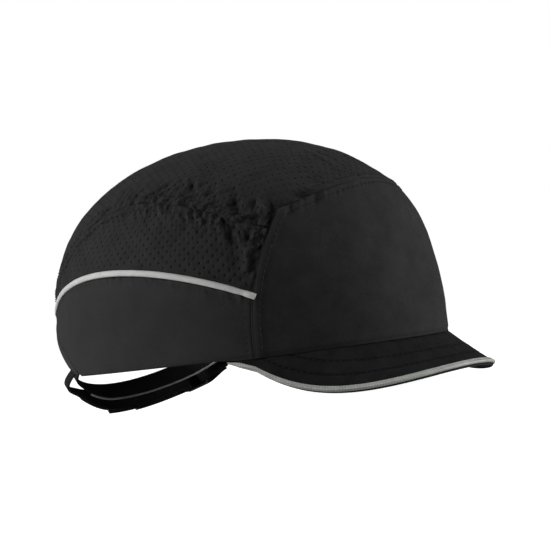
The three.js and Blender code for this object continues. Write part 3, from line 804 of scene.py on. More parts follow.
def edge_fold(reach_out, reach_in, inner, outer, cloth, edge=0.4):
    """The outline of a tape folded over an edge: (sideways from the edge, outwards)."""
    middle, half = (inner + outer) / 2, (outer - inner) / 2
    angles = np.linspace(math.pi / 2, -math.pi / 2, 7)

    def turn(radius):
        return [(-edge - radius * 0.8 * math.cos(a), middle + radius * math.sin(a)) for a in angles]

    far, near = turn(half + cloth), turn(half)[::-1]
    outside = [(x, outer + cloth) for x in np.linspace(reach_out, 0, 5)]
    inside_up = [(x, inner - cloth) for x in np.linspace(0, reach_in, 5)]
    return [*outside, *far, *inside_up, (reach_in, inner), (0, inner), *near, (0, outer), (reach_out, outer)]


def make_arch_binding():
    reach = ARCH["half_angle"] - 1.0
    angle = np.linspace(180 - reach, 180 + reach, 260)
    path = crown(angle, arch_height(angle))
    width = ARCH["binding"]
    outline = np.array(edge_fold(width * 0.5, width, -CLOTH - 0.15, 0.1, 0.5))
    narrow = mix(1, 0.3, smooth((np.abs(angle - 180) - reach + 6) / 6))
    rings = on_path(path, normal(path), outline)
    rings = path[:, None] + (rings - path[:, None]) * narrow[:, None, None]
    sweep("arch_binding_tape", "arch_binding", rings, "cap")


def make_seam_tape():
    z = np.linspace(1.5, 60, 70)
    angle = np.linspace(-40, 40, 90)
    right = crown(-seam_angle(z), z)
    left = crown(seam_angle(z[::-1]), z[::-1])
    path = np.vstack([right, crown(angle, seam_top(angle)), left])
    for _ in range(12):
        path[1:-1] = (path[:-2] + 2 * path[1:-1] + path[2:]) / 4
    path = outwards(onto_crown(path), np.full(len(path), -CLOTH - 0.8))
    rings = on_path(path, normal(path), rounded_bar(11.0, 0.5))
    sweep("seam_tape_inside", "front_seam_tape", rings, "cap")


# ---- brim ------------------------------------------------------------------------------------------

BRIM_TAIL = 82.0
BRIM_ROWS = (19.0, 10.0)
BRIM_EDGE = 2.7
BAND = {"reach": 2.3, "fold": 1.2, "under": 0.3}


def brim_top(angle, across):
    """A place on the brim's upper face: angle goes round it, and across goes from the crown to its edge."""
    a = np.radians(angle)
    x, y = BRIM["half_width"] * np.sin(a), -(BRIM["centre"] + BRIM["reach"] * np.cos(a))
    edge = np.hypot(x, y)
    rim = 1 / np.hypot(x / edge / HALF_WIDTH, y / edge / HALF_LENGTH)
    tail = (np.abs(angle) - BRIM_TAIL) / (BRIM["end_angle"] - BRIM_TAIL)
    reach = np.where(tail > 0, mix(2.9, BRIM["end_reach"], np.maximum(tail, 0)), edge - rim)
    slope = np.radians(mix(BRIM["front_slope"], BRIM["side_slope"], np.sin(a) ** 2))
    radius = rim + reach * np.maximum(across, 0) - BRIM["allowance"] * smooth(-across / 0.03)
    rise = BRIM["allowance"] * smooth((-across - 0.02) / 0.04)
    fall = reach * np.maximum(across, 0) * np.tan(slope)
    return np.stack([x / edge * radius, y / edge * radius, rise - BRIM["drop"] - fall], -1)


def brim_point(angle, across, depth):
    angle, across, depth = np.broadcast_arrays(np.asarray(angle, float), across, depth)
    level = np.maximum(across, 0)
    sideways = brim_top(angle + 1, level) - brim_top(angle - 1, level)
    n = np.cross(brim_top(angle, np.ones(angle.shape)) - brim_top(angle, np.zeros(angle.shape)), sideways)
    n *= np.sign(n[..., 2:]) / np.linalg.norm(n, axis=-1, keepdims=True)
    return brim_top(angle, across) - n * depth[..., None]


def brim_width(angle):
    """The brim's reach from the crown to its outer edge."""
    span = brim_top(angle, np.ones(np.shape(angle))) - brim_top(angle, np.zeros(np.shape(angle)))
    return np.linalg.norm(span, axis=-1)


def thinned(angle):
    """How much of its thickness the brim keeps towards its two ends."""
    return mix(1, 0.45, smooth((np.abs(angle) - 74) / 20))


def brim_thickness(angle, across):
    return mix(BRIM["stack"] - 0.8, BRIM_EDGE, smooth(across / 0.7)) * thinned(angle)


def brim_relief(angle, across):
    """Depth of the brim's top cover under its plain surface, from stitching and soft cloth."""
    d = (1 - across) * brim_width(angle)
    s = np.radians(angle) * RIM_RADIUS
    depth = 0.12 + 0.15 * smooth(across)
    for row in BRIM_ROWS:
        depth = depth + 0.34 * bell(d - row, 0.7) * (0.75 + 0.25 * np.cos(2 * np.pi * s / STITCH["pitch"]))
    flat = flat_points(s.ravel(), d.ravel())
    ripple = (noise(flat, 6.0, 71) + 0.6 * noise(flat, 14.0, 72)).reshape(np.shape(angle))
    near_rows = bell(d - BRIM_ROWS[0], 3.5) + bell(d - BRIM_ROWS[1], 3.5)
    return depth - 0.1 * ripple - 0.09 * ripple * near_rows


def brim_sheet(name, node, from_across, to_across, top_depth, thick, relief=0.0, columns=60,
               reach=BRIM["end_angle"]):
    rows = 330
    angle = np.linspace(-reach, reach, rows)[:, None]
    across = np.linspace(from_across, to_across, columns)[None, :]
    angle, across = np.broadcast_arrays(angle, across)
    depth = top_depth(angle, across) + relief * brim_relief(angle, across)
    outer = brim_point(angle, across, depth).reshape(-1, 3)
    inner = brim_point(angle, across, depth + thick).reshape(-1, 3)
    weave = np.stack([np.radians(angle) * RIM_RADIUS, (1 - across) * brim_width(angle)], -1)
    two_faced(name, outer, inner, grid_faces(rows, columns), "cap", weave.reshape(-1, 2), node)


def make_brim():
    cover = 0.6
    brim_sheet("brim_cover_top", "brim_top_cover", -0.06, 1.0, lambda a, t: 0 * t, cover,
               relief=1.0)
    brim_sheet("brim_cover_under", "brim_under_cover", 0.0, 1.015,
               lambda a, t: brim_thickness(a, t) - cover, cover)
    brim_sheet("brim_board_plate", "brim_board", 0.06, 0.94, lambda a, t: cover + 0.3 + 0 * t, 0.5,
               columns=14, reach=80)
    angle = np.linspace(-BRIM["end_angle"] - 0.4, BRIM["end_angle"] + 0.4, 330)
    outline = np.array(edge_fold(BAND["reach"], BAND["under"], -BAND["fold"], 0.0, 0.4, edge=-0.2))
    width = brim_width(angle)[:, None]
    narrow = np.minimum(1, 0.7 * width / outline[:, 0].max())
    across = 1 - outline[None, :, 0] * narrow / width
    rings = brim_point(angle[:, None], across, -outline[None, :, 1] * thinned(angle)[:, None])
    sweep("brim_binding_tape", "brim_edge_binding", rings, "cap")


# ---- nape strap ------------------------------------------------------------------------------------

def strap_point(angle, radius, along):
    """A place on the tilted strap: its angle from the nape, its radius and its height on the strap."""
    a, lean = np.radians(angle), math.radians(STRAP["tilt"])
    reach = radius * np.cos(a)
    x = radius * np.sin(a)
    y = STRAP["y"] + reach * math.cos(lean) + along * math.sin(lean)
    z = STRAP["z"] - reach * math.sin(lean) + along * math.cos(lean)
    return np.stack(np.broadcast_arrays(x, y, z), -1)


def strap_radius(angle):
    """The strap's outer radius, which shrinks where its ends tuck in under the rim."""
    reach = STRAP["end"] - STRAP["tuck_from"]
    return STRAP["radius"] - STRAP["tuck"] * smooth((np.abs(angle) - STRAP["tuck_from"]) / reach)


def wrapped(angle, radius):
    """The radius of a layer that starts clear of the loop and comes to lie on the strap's end."""
    lying = strap_radius(angle) + radius - (STRAP["radius"] + TAB["lift"])
    return float(mix(radius, lying, smooth((angle - TAB["clear"]) / 6)))


def webbing(name, node, line, low, high, thick, body="cap", wave=0.0, seed=0, folded=None):
    """A band of webbing. line is its middle as (angle, radius); it is as wide as from low to high.

    At its right end it may be folded narrower, to the width between the two edges given by folded.
    """
    line = np.asarray(line, float)
    place = strap_point(line[:, 0], line[:, 1], np.zeros(len(line)))
    along = length_along(place)
    even = np.linspace(0, along[-1], max(8, int(along[-1] / 0.9)))
    line = points_at(even, along, line)
    narrow = smooth((-line[:, 0] - STRAP["fold_from"]) / STRAP["fold_reach"]) * (folded is not None)
    folded = folded or (low, high)
    low_at, high_at = mix(low, folded[0], narrow), mix(high, folded[1], narrow)
    low_edge = strap_point(line[:, 0], line[:, 1], low_at)
    high_edge = strap_point(line[:, 0], line[:, 1], high_at)
    middle, across = (low_edge + high_edge) / 2, unit(high_edge - low_edge)
    out = np.cross(unit(np.gradient(middle, axis=0)), across)
    section = np.array(rounded_bar(high - low, thick, steps=15))
    shift = wave * noise(flat_points(even, 0 * even), 16.0, seed)
    width = (high_at - low_at) / (high - low)
    rings = middle[:, None] + across[:, None] * section[None, :, :1] * width[:, None, None]
    rings = rings + out[:, None] * (section[None, :, 1:] + shift[:, None, None])
    sweep(name, node, rings, body)


def turn_back(inner, outer, centre, hand):
    """A line along the inner radius, round a bar, and back along the outer one, as (angle, radius)."""
    middle, half = (inner + outer) / 2, (outer - inner) / 2
    a = np.linspace(-math.pi / 2, math.pi / 2, 12)
    degrees = np.degrees(half * np.cos(a) / middle)
    return [(centre + hand * d, middle + half * math.sin(t)) for d, t in zip(degrees, a)]


def make_strap_base():
    """The strap from the wearer's right, round the loop's bar and back along itself."""
    end, cloth = STRAP["end"], STRAP["cloth"]
    angles = np.linspace(-end, 27.5, 120)
    bulge = STRAP["bulge"] * bell(angles + 41, 10.0) * smooth((angles + end) / 6)
    line = [*zip(angles, strap_radius(angles) - cloth / 2 + bulge)]
    line += turn_back(STRAP["radius"] - cloth / 2, LAYER["returned"], 28.2, 1)
    line += [(a, LAYER["returned"]) for a in np.linspace(27.5, 8.0, 30)]
    webbing("strap_webbing", "strap_base", line, 0, STRAP["width"], cloth, wave=0.12, seed=81,
            folded=(8.4, 12.2))


def make_loop_tab():
    """The webbing that holds the loop at the wearer's left, and its backing."""
    width = STRAP["width"]
    angles = np.linspace(STRAP["end"], TAB["clear"], 30)
    line = [*zip(angles, strap_radius(angles) - TAB["thick"] / 2)]
    line += turn_back(STRAP["radius"] - TAB["thick"] / 2, LAYER["tab"], TAB["turn"], -1)
    line += [(a, wrapped(a, LAYER["tab"])) for a in np.linspace(TAB["clear"], 44.0, 14)]
    webbing("strap_tab_webbing", "strap_loop_tab", line, 0, width, TAB["thick"])
    line = [(a, wrapped(a, LAYER["backing"])) for a in np.linspace(29.6, 43.4, 26)]
    webbing("strap_backing_webbing", None, line, -0.8, width + 0.6, 0.6)


def make_strap_tail():
    """The free end with its hook tape, and the loop tape that it grips."""
    cloth, width = STRAP["cloth"], STRAP["width"]
    line = [(a, LAYER["tail"]) for a in np.linspace(-6, 24.4, 60)]
    webbing("strap_tail_webbing", "strap_tail", line, 0, width, cloth, "strap_tail", wave=0.05, seed=83)
    line = [(a, LAYER["hook"]) for a in np.linspace(-5, 6, 24)]
    webbing("strap_hook_tape", "strap_hook_patch", line, 0.6, width - 0.6, 0.6, "strap_tail")
    line = [(a, LAYER["loops"]) for a in np.linspace(-24, 12, 60)]
    webbing("strap_loop_tape", "strap_loop_patch", line, 0.6, width - 0.6, 0.7,
            folded=(8.9, 11.8))


def make_nape_band():
    """The band inside the strap, with a light strip along its lower edge: a painted highlight."""
    angles = np.linspace(-STRAP["end"], STRAP["end"], 150)
    line = [*zip(angles, strap_radius(angles) - NAPE_BAND_DEPTH)]
    webbing("nape_band_webbing", "nape_band", line, 5, 15, 1.2, wave=0.1, seed=84, folded=(11.2, 15.0))
    # A light strip for the painted highlight along the band's lower edge, on its far part only.
    line = [place for place in line if place[0] > -22]
    webbing("nape_band_edge", None, line, 4.3, 5.1, 1.3, wave=0.1, seed=84,
            folded=(8.0, 8.6))


def rounded_rectangle(half_u, half_v, corner):
    """Its outline, with eight points on each corner."""
    path = []
    for su, sv, start in ((1, 1, 0), (-1, 1, 90), (-1, -1, 180), (1, -1, 270)):
        for a in np.radians(np.linspace(start, start + 90, 8)):
            path.append((su * (half_u - corner) + corner * math.cos(a),
                         sv * (half_v - corner) + corner * math.sin(a)))
    return np.array(path)


def make_loop():
    """The plastic loop: a rounded bar bent into a rounded rectangle."""
    middle = (LOOP["inner"] + LOOP["outer"]) / 2
    centre = (LOOP["from"] + LOOP["to"]) / 2
    degree = math.radians(1) * middle
    half_s = (LOOP["to"] - LOOP["from"]) / 2 * degree - LOOP["bar"] * degree / 2
    low = -LOOP["clear"] - LOOP["side"] / 4
    high = STRAP["width"] + LOOP["clear"] + LOOP["side"] / 4
    mid_h = (high + low) / 2
    path = rounded_rectangle(half_s, (high - low) / 2, 1.8)
    tangent = unit(np.roll(path, -1, axis=0) - np.roll(path, 1, axis=0))
    side = np.stack([tangent[:, 1], -tangent[:, 0]], -1)
    wide = np.where(np.abs(side[:, 0]) > 0.7, LOOP["bar"] * degree, LOOP["side"] * 0.6) * 0.92
    ring = []
    for point, across, width in zip(path, side, wide):
        for a in np.radians(np.arange(0, 360, 30)):
            c, s = math.cos(a), math.sin(a)
            w = width / 2 * math.copysign(abs(c) ** 0.6, c)
            r = (LOOP["outer"] - LOOP["inner"]) / 2 * 0.95 * math.copysign(abs(s) ** 0.6, s)
            at = point + across * w
            ring.append(strap_point(np.array(centre + at[0] / degree), middle + r, mid_h + at[1]))
    rings = np.array(ring).reshape(len(path), 12, 3)
    sweep("strap_loop_ring", "strap_loop", rings, "cap", closed=True)


# ---- inside ----------------------------------------------------------------------------------------

SHELL = {"depth": 8.0, "wall": 2.2, "edge": 30.0, "rear_edge": 54.0, "columns": 40, "rows": 9,
         "vent_rows": (2, 4, 6), "offset_row": 4, "vent_every": 4}
PAD = {"depth": 11.2, "thick": 5.4}


def crown_depth(angle, z, depth):
    """Points this deep under the crown."""
    return outwards(crown(angle, z), -np.asarray(depth, float) * np.ones(np.shape(angle)))


def make_sweatband():
    angles = np.linspace(-110, 110, 420)
    # The band's section: heights and depths under the crown, from its lower fold to its upper edge.
    profile = [(3.0, 1.3), (1.2, 1.5), (0.4, 2.4), (0.4, 3.8), (1.2, 4.9), (3.0, 5.3), (8.0, 5.5),
               (14.0, 5.5), (20.0, 5.4), (25.0, 5.2), (27.2, 5.1), (28.0, 4.9)]
    corners = np.arange(len(profile))
    z, depth = points_at(np.linspace(0, corners[-1], 44), corners, np.array(profile)).T
    angle, z = grid(angles, z)
    depth = np.broadcast_to(depth, angle.shape)
    flat = flat_points(np.radians(angle) * RIM_RADIUS, z).reshape(-1, 3)
    wave = (0.5 * noise(flat, 18.0, 91) * smooth((flat[:, 1] - 4) / 10)
            + 0.22 * noise(flat, 4.5, 92) * bell(flat[:, 1] - 4, 4)).reshape(angle.shape)
    outer = crown_depth(angle, z, depth + wave - 0.5).reshape(-1, 3)
    inner = crown_depth(angle, z, depth + wave + 0.6).reshape(-1, 3)
    piece = two_faced("sweatband_towelling", outer, inner, grid_faces(*angle.shape), "cap",
                      flat[:, :2], "sweatband")


def pad(name, node, place, half_u, half_v, depth, thick, body):
    """A foam pad with round corners and edges. place(u, v, depth) is a point of it."""
    n = 46
    u, v = grid(np.linspace(-1, 1, n), np.linspace(-1, 1, n))
    cu, cv = u * np.sqrt(1 - 0.16 * v ** 4), v * np.sqrt(1 - 0.16 * u ** 4)
    edge = 1 - np.maximum(np.abs(u), np.abs(v))
    rise = np.sqrt(np.clip(1 - (1 - np.clip(edge / 0.16, 0, 1)) ** 2, 0, 1))
    flat = flat_points(u * half_u, v * half_v).reshape(-1, 3)
    soft = 0.25 * noise(flat, 9.0, len(name)).reshape(u.shape)
    near = place(cu, cv, depth + thick * (0.32 - 0.3 * rise)).reshape(-1, 3)
    far = place(cu, cv, depth + thick * (0.40 + 0.6 * rise) + soft * rise).reshape(-1, 3)
    piece = two_faced(name, near, far, grid_faces(n, n), body, flat[:, :2], node)


def side_pad(name, node, from_angle, to_angle, low, high, depth=PAD["depth"], thick=PAD["thick"],
             body="insert"):
    middle, half = (from_angle + to_angle) / 2, (to_angle - from_angle) / 2
    centre, tall = (low + high) / 2, (high - low) / 2

    def place(u, v, at_depth):
        return crown_depth(middle + u * half, centre + v * tall, at_depth)

    pad(name, node, place, half * 1.7, tall, depth, thick, body)


def top_pad():
    def place(u, v, at_depth):
        p = onto_crown(np.stack([u * 30, v * 50, np.full(u.shape, HEIGHT * 0.9)], -1))
        return outwards(p, -at_depth)

    pad("pad_top_foam", "insert_pad_top", place, 28, 48, PAD["depth"], PAD["thick"], "insert")


def dome_point(angle, z, rise, depth):
    """A place of the dome: rise goes from its edge at height z to its top."""
    flat = np.sqrt(1 - (z / HEIGHT) ** RISE)
    tilt = mix(np.arctan2(z / HEIGHT, flat), np.pi / 2, rise)
    x = HALF_WIDTH * np.cos(tilt) * np.sin(np.radians(angle))
    y = -HALF_LENGTH * np.cos(tilt) * np.cos(np.radians(angle))
    return outwards(onto_crown(np.stack([x, y, HEIGHT * np.sin(tilt)], -1)), -np.full(x.shape, depth))


def make_shell():
    """The protective shell: a dome with rows of rounded vents."""
    columns, rows, split = SHELL["columns"], SHELL["rows"], 3
    nc, nr = columns * split, (rows - 1) * split + 1
    angle = -180 + 360 * np.arange(nc) / nc
    rise = np.arange(nr) / split / rows
    angle, rise = grid(angle, rise)
    from_back = 180 - np.abs(angle)
    z = mix(SHELL["edge"], SHELL["rear_edge"], smooth((80 - from_back) / 18))
    depth = SHELL["depth"] + SHELL["wall"] / 2
    base = dome_point(angle, z, rise, depth)
    cell_i, cell_j = grid(np.arange(nc) // split, np.arange(nr - 1) // split)
    vent_column = np.where(cell_j == SHELL["offset_row"], 3, 1)
    vent = np.isin(cell_j, SHELL["vent_rows"]) & (cell_i % SHELL["vent_every"] == vent_column)
    i, j = grid(np.arange(nc), np.arange(nr - 1))
    a, b = i * nr + j, ((i + 1) % nc) * nr + j
    faces = np.stack([a, b, b + 1, a + 1], -1)[~vent]
    points = base.reshape(-1, 3)
    apex = len(points)
    points = np.vstack([points, outwards(np.array([[0, 0, HEIGHT]]), np.array([-depth]))])
    top = [(k * nr + nr - 1, ((k + 1) % nc) * nr + nr - 1, apex) for k in range(nc)]
    piece = new_piece("shell_dome", points, [*faces.tolist(), *top], "insert",
                      points[:, :2], "insert_shell")
    solid = piece.modifiers.new("wall", "SOLIDIFY")
    solid.thickness = SHELL["wall"] * MM
    solid.offset = 0
    fine = piece.modifiers.new("smooth", "SUBSURF")
    fine.levels = fine.render_levels = 1


def make_inside():
    make_sweatband()
    make_shell()
    top_pad()
    side_pad("brow_foam_pad", "brow_foam", -50, 50, 4, 25.5, 1.7, 2.4, "cap")
    side_pad("pad_front_foam", "insert_pad_front", -38, 38, 36, 66)
    side_pad("pad_back_foam", "insert_pad_back", 148, 212, 58, 82)
    side_pad("pad_left_foam", "insert_pad_left", 62, 112, 38, 66)
    side_pad("pad_right_foam", "insert_pad_right", -112, -62, 38, 66)


# ---- stitching -------------------------------------------------------------------------------------

def tube_faces(tubes, rings, sides):
    """The faces of this many closed tubes, each of them rings of points one after another."""
    faces = []
    for tube in range(tubes):
        first = tube * rings * sides
        for i, j in np.ndindex(rings - 1, sides):
            p, q = first + i * sides + j, first + i * sides + (j + 1) % sides
            faces.append((p, p + sides, q + sides, q))
        faces.append(tuple(first + j for j in range(sides)))
        faces.append(tuple(first + (rings - 1) * sides + j for j in reversed(range(sides))))
    return faces


def stitches(path, out):
    """Short threads that lie along a path and dip into the cloth at both ends."""
    length, radius = STITCH["length"], STITCH["radius"]
    along = length_along(path)
    starts = np.arange(0.4, along[-1] - length, STITCH["pitch"])
    t = np.linspace(0, 1, 6)
    at = starts[:, None] + t[None] * length
    up = unit(points_at(at, along, out))
    centre = points_at(at, along, path) + up * (radius * (2.4 * np.sin(np.pi * t) - 1.2))[None, :, None]
    side = np.cross(unit(np.gradient(centre, axis=1)), up)
    sides = 6
    a = np.arange(sides) * 2 * np.pi / sides
    thick = radius * np.sqrt(np.clip(np.sin(np.pi * np.clip(t, 0.06, 0.94)), 0.1, 1))
    c, s = np.cos(a)[:, None], np.sin(a)[:, None]
    ring = side[:, :, None] * c + up[:, :, None] * s
    points = centre[:, :, None] + ring * thick[None, :, None, None]
    return points.reshape(-1, 3), tube_faces(len(starts), len(t), sides)


def stitched(name, rows):
    """One piece for all the stitches of these rows, each a path and its outward directions."""
    points, faces = np.zeros((0, 3)), []
    for path, out in rows:
        p, f = stitches(path, out)
        faces += [tuple(i + len(points) for i in face) for face in f]
        points = np.vstack([points, p])
    new_piece(name, points, faces, "cap", points[:, :2])


def beside(line, distance, lift_at):
    """A row beside a seam: its points on the lifted cloth, and the way out."""
    points = SEAM_LINES[line][0]
    side = unit(np.cross(np.gradient(points, axis=0), normal(points)))
    row = onto_crown(points + side * distance)
    keep = slice(6, -6)
    return outwards(row, lift_at(row) + 0.05)[keep], normal(row)[keep]


def tack(hand):
    """The small stitched box on the brow seam, near its end."""
    corners = np.array([(39.2, 77.2), (33, 80.3), (33, 82.4), (39.2, 79.3), (39.2, 77.2)])
    angle, z = points_at(np.linspace(0, 4, 60), range(5), corners).T
    row = crown(hand * angle, z)
    return outwards(row, np.maximum(top_lift(row), front_lift(row)) + 0.05), normal(row)


def brim_row(row):
    """A row of stitches this far in from the brim's outer edge, where the brim is deep enough for it."""
    angle = np.linspace(-90, 90, 900)
    across = 1 - row / brim_width(angle)
    angle, across = angle[across > 0.04], across[across > 0.04]
    path = brim_point(angle, across, brim_relief(angle, across) - 0.05)
    return path, path - brim_point(angle, across, brim_relief(angle, across) + 1)


def make_stitching():
    crown_rows, front_rows = [], []
    for side, hand, seed in SIDES:
        upper = upper_side_lift(side, seed)
        lower = lower_side_lift(side, seed + 10)
        front_rows.append(beside(f"front_{side}", -hand * ROW["front"], front_lift))
        crown_rows.append(beside(f"ridge_{side}", -hand * ROW["ridge_top"], top_lift))
        crown_rows.append(beside(f"ridge_{side}", hand * ROW["ridge_side"], upper))
        crown_rows.append(beside(f"piping_{side}", -hand * ROW["piping"], lower))
        low_part = beside(f"front_{side}", hand * ROW["front_low"], lower)
        front_rows.append(tuple(part[:60] for part in low_part))
        crown_rows.append(tack(hand))
    crown_rows.append(beside("brow", ROW["brow"], front_lift))
    crown_rows.append(beside("brow", -ROW["brow_top"], top_lift))
    stitched("crown_stitching", crown_rows)
    stitched("front_stitching", front_rows)
    stitched("brim_stitching", [brim_row(row) for row in BRIM_ROWS])


# ---- materials -------------------------------------------------------------------------------------

class Nodes:
    """A short way to write the node tree of a new material, or of the world."""

    def __init__(self, owner):
        self.owner = bpy.data.materials.new(owner) if isinstance(owner, str) else owner
        self.owner.use_nodes = True
        self.tree = self.owner.node_tree
        self.tree.nodes.clear()

    def put(self, kind, values=(), **options):
        """A new node: values set or link its inputs, and options set its properties."""
        node = self.tree.nodes.new(kind)
        for key, value in options.items():
            setattr(node, key, value)
        for socket, value in dict(values).items():
            if isinstance(value, bpy.types.NodeSocket):
                self.tree.links.new(value, node.inputs[socket])
            else:
                node.inputs[socket].default_value = value
        return node

    def math(self, operation, a, b=0.0):
        return self.put("ShaderNodeMath", {0: a, 1: b}, operation=operation).outputs[0]

    def add(self, a, b, share=1.0):
        """a and a share of b."""
        return self.math("ADD", a, self.math("MULTIPLY", b, share))

    def wave(self, value, pitch):
        """A sine of the value that repeats every pitch."""
        return self.math("SINE", self.math("MULTIPLY", value, 2 * math.pi / pitch))

    def place(self):
        return self.put("ShaderNodeTexCoord").outputs["Object"]

    def weave(self):
        flat = self.put("ShaderNodeUVMap", uv_map="weave").outputs[0]
        axes = self.put("ShaderNodeSeparateXYZ", {0: flat})
        return axes.outputs[0], axes.outputs[1]

    def noise(self, size, detail=2.0, rough=0.5):
        values = {"Vector": self.place(), "Scale": 1 / (size * MM), "Detail": detail, "Roughness": rough}
        return self.put("ShaderNodeTexNoise", values).outputs[0]

    def cells(self, size, feature="F1"):
        values = {"Vector": self.place(), "Scale": 1 / (size * MM)}
        return self.put("ShaderNodeTexVoronoi", values, feature=feature).outputs["Distance"]

    def ramp(self, factor, low, high, dark, light):
        t = self.put("ShaderNodeMapRange", {0: factor, 1: low, 2: high}).outputs[0]
        mixed = self.put("ShaderNodeMix", {0: t, 6: (*dark, 1), 7: (*light, 1)}, data_type="RGBA")
        return mixed.outputs[2]

    def scaled(self, colour, factor):
        values = {0: 1.0, 6: colour, 7: factor}
        return self.put("ShaderNodeMix", values, data_type="RGBA", blend_type="MULTIPLY").outputs[2]

    def painted_crease_shade(self, colour, reach=4.5, deepest=0.12):
        """The colour, with painted shade that darkens it in creases narrower than reach."""
        # Painted shade: occlusion darkens the colour in creases, seams and holes.
        open_share = self.put("ShaderNodeAmbientOcclusion", {"Distance": reach * MM}, samples=8).outputs["AO"]
        return self.scaled(colour, self.ramp(open_share, 0.35, 0.95, grey(deepest), grey(1.0)))

    def finish(self, colour, height, depth, roughness, specular, sheen=0.0):
        bump = self.put("ShaderNodeBump", {"Height": height, "Distance": depth * MM, "Strength": 1.0})
        values = {"Base Color": colour, "Roughness": roughness, "Normal": bump.outputs[0]}
        shader = self.put("ShaderNodeBsdfPrincipled", values)
        shader.inputs["Specular IOR Level"].default_value = specular
        shader.inputs["Sheen Weight"].default_value = sheen
        shader.inputs["Sheen Roughness"].default_value = 0.6
        self.put("ShaderNodeOutputMaterial", {"Surface": shader.outputs[0]})
        return self.owner


def grey(value, tint=(1.0, 1.0, 1.0)):
    return tuple(value * t for t in tint)


def threads(n, pitch):
    """Height of a plain weave: warp and weft ribs that pass over each other in turn."""
    u, v = n.weave()
    across, along = (n.math("ABSOLUTE", n.wave(axis, 2 * pitch)) for axis in (u, v))
    turn = n.math("MULTIPLY", n.math("COSINE", n.math("MULTIPLY", u, math.pi / pitch)),
                  n.math("COSINE", n.math("MULTIPLY", v, math.pi / pitch)))
    over = n.math("GREATER_THAN", turn, 0.0)
    return n.math("ADD", n.math("MULTIPLY", across, over),
                  n.math("MULTIPLY", along, n.math("SUBTRACT", 1.0, over)))


def cloth_look(name, dark, light, depth, cloud, tint=(1.0, 1.0, 1.02), specular=0.16, sheen=0.02,
               rows=()):
    """Plain woven cloth. rows are the places along its weave where thread pulls it into a groove, whose shade
    is painted in as a dark line.
    """
    n = Nodes(name)
    rib = threads(n, THREAD_PITCH)
    mottle = n.noise(cloud, 4.0, 0.62)
    colour = n.ramp(mottle, 0.32, 0.68, grey(dark, tint), grey(light, tint))
    grain = n.noise(0.9, 2.0, 0.7)
    shade = n.ramp(n.add(grain, rib, 0.5), 0.3, 1.1, grey(0.72), grey(1.18))
    height = n.add(rib, grain, 1.2)
    colour = n.painted_crease_shade(n.scaled(colour, shade))
    # Painted shade: a dark line along each stitch row, for the shade in its groove.
    for row in rows:
        off = n.math("ABSOLUTE", n.math("SUBTRACT", n.weave()[1], row))
        colour = n.scaled(colour, n.ramp(off, 0.35, 1.0, grey(0.3), grey(1.0)))
    return n.finish(colour, height, depth, 0.86, specular, sheen)


def mesh_look(name):
    """Light, open cloth whose face shows fine knitted rows between its holes."""
    n = Nodes(name)
    u, v = n.weave()
    pitch = 1.1
    knit = n.math("MULTIPLY", n.wave(n.math("ADD", u, v), pitch), n.wave(n.math("SUBTRACT", u, v), pitch))
    grain = n.noise(0.8, 2.0, 0.7)
    colour = n.ramp(n.noise(11.0, 3.0, 0.6), 0.3, 0.7, grey(0.0125), grey(0.0205, (1, 1, 1.02)))
    shade = n.ramp(n.add(grain, knit, 0.3), 0.1, 1.0, grey(0.75), grey(1.2))
    gather = n.put("ShaderNodeAttribute", attribute_name="gather").outputs["Fac"]
    crinkle = n.math("MULTIPLY", n.math("SUBTRACT", n.noise(2.2, 3.0, 0.6), 0.5), gather)
    # Painted shade and highlight: the crinkles' hollows darker and their crests lighter.
    colour = n.scaled(n.scaled(colour, shade), n.ramp(crinkle, -0.13, 0.13, grey(0.5), grey(1.5)))
    height = n.add(n.add(grain, knit, 0.5), crinkle, 9.0)
    return n.finish(n.painted_crease_shade(colour), height, 0.14, 0.84, 0.13, 0.02)


def tape_look(name, dark, light, tint, pitch, roughness=0.5, specular=0.4):
    """Tape with a fine slanting rib."""
    n = Nodes(name)
    u, v = n.weave()
    slant = n.wave(n.add(u, v, 0.8), pitch)
    grain = n.noise(0.7, 2.0, 0.6)
    colour = n.ramp(n.noise(6.0, 3.0, 0.6), 0.3, 0.7, grey(dark, tint), grey(light, tint))
    shade = n.ramp(n.add(grain, slant, 0.35), 0.0, 1.0, grey(0.84), grey(1.1))
    return n.finish(n.scaled(colour, shade), n.add(grain, slant, 0.5), 0.1, roughness, specular)


def webbing_look(name, dark, light):
    n = Nodes(name)
    u, v = n.weave()
    pattern = n.add(n.wave(u, 1.3), n.wave(v, 0.9), 0.5)
    grain = n.noise(0.6, 2.0, 0.6)
    colour = n.ramp(n.add(grain, pattern, 0.2), 0.0, 1.0, grey(dark), grey(light))
    return n.finish(colour, n.add(grain, pattern, 0.5), 0.2, 0.8, 0.2)


def towel_look(name):
    n = Nodes(name)
    loops = n.cells(1.1)
    fuzz = n.noise(0.7, 3.0, 0.7)
    colour = n.ramp(n.add(loops, fuzz, 0.5), 0.2, 1.1, grey(0.075), grey(0.035))
    return n.finish(colour, n.math("SUBTRACT", fuzz, loops), 0.5, 0.95, 0.1, 0.05)


def foam_look(name):
    n = Nodes(name)
    pores = n.cells(0.9)
    wide = n.noise(7.0, 3.0, 0.6)
    colour = n.ramp(n.add(pores, wide, 0.4), 0.1, 1.0, grey(0.045), grey(0.13))
    return n.finish(colour, pores, 0.35, 0.92, 0.12)


def patch_look(name):
    n = Nodes(name)
    loops = n.cells(0.8)
    tufts = n.noise(0.5, 2.0, 0.8)
    height = n.math("ADD", loops, tufts)
    colour = n.ramp(height, 0.3, 1.4, grey(0.010), grey(0.030))
    return n.finish(colour, height, 0.45, 0.9, 0.12, 0.03)


def plastic_look(name, dark, light, grain_size, depth, roughness, specular=0.4):
    n = Nodes(name)
    grain = n.noise(grain_size, 4.0, 0.6)
    wide = n.noise(25.0, 3.0, 0.5)
    colour = n.ramp(wide, 0.3, 0.7, grey(dark), grey(light))
    worn = n.put("ShaderNodeMapRange", {0: grain, 3: roughness - 0.08, 4: roughness + 0.1}).outputs[0]
    return n.finish(colour, grain, depth, worn, specular)


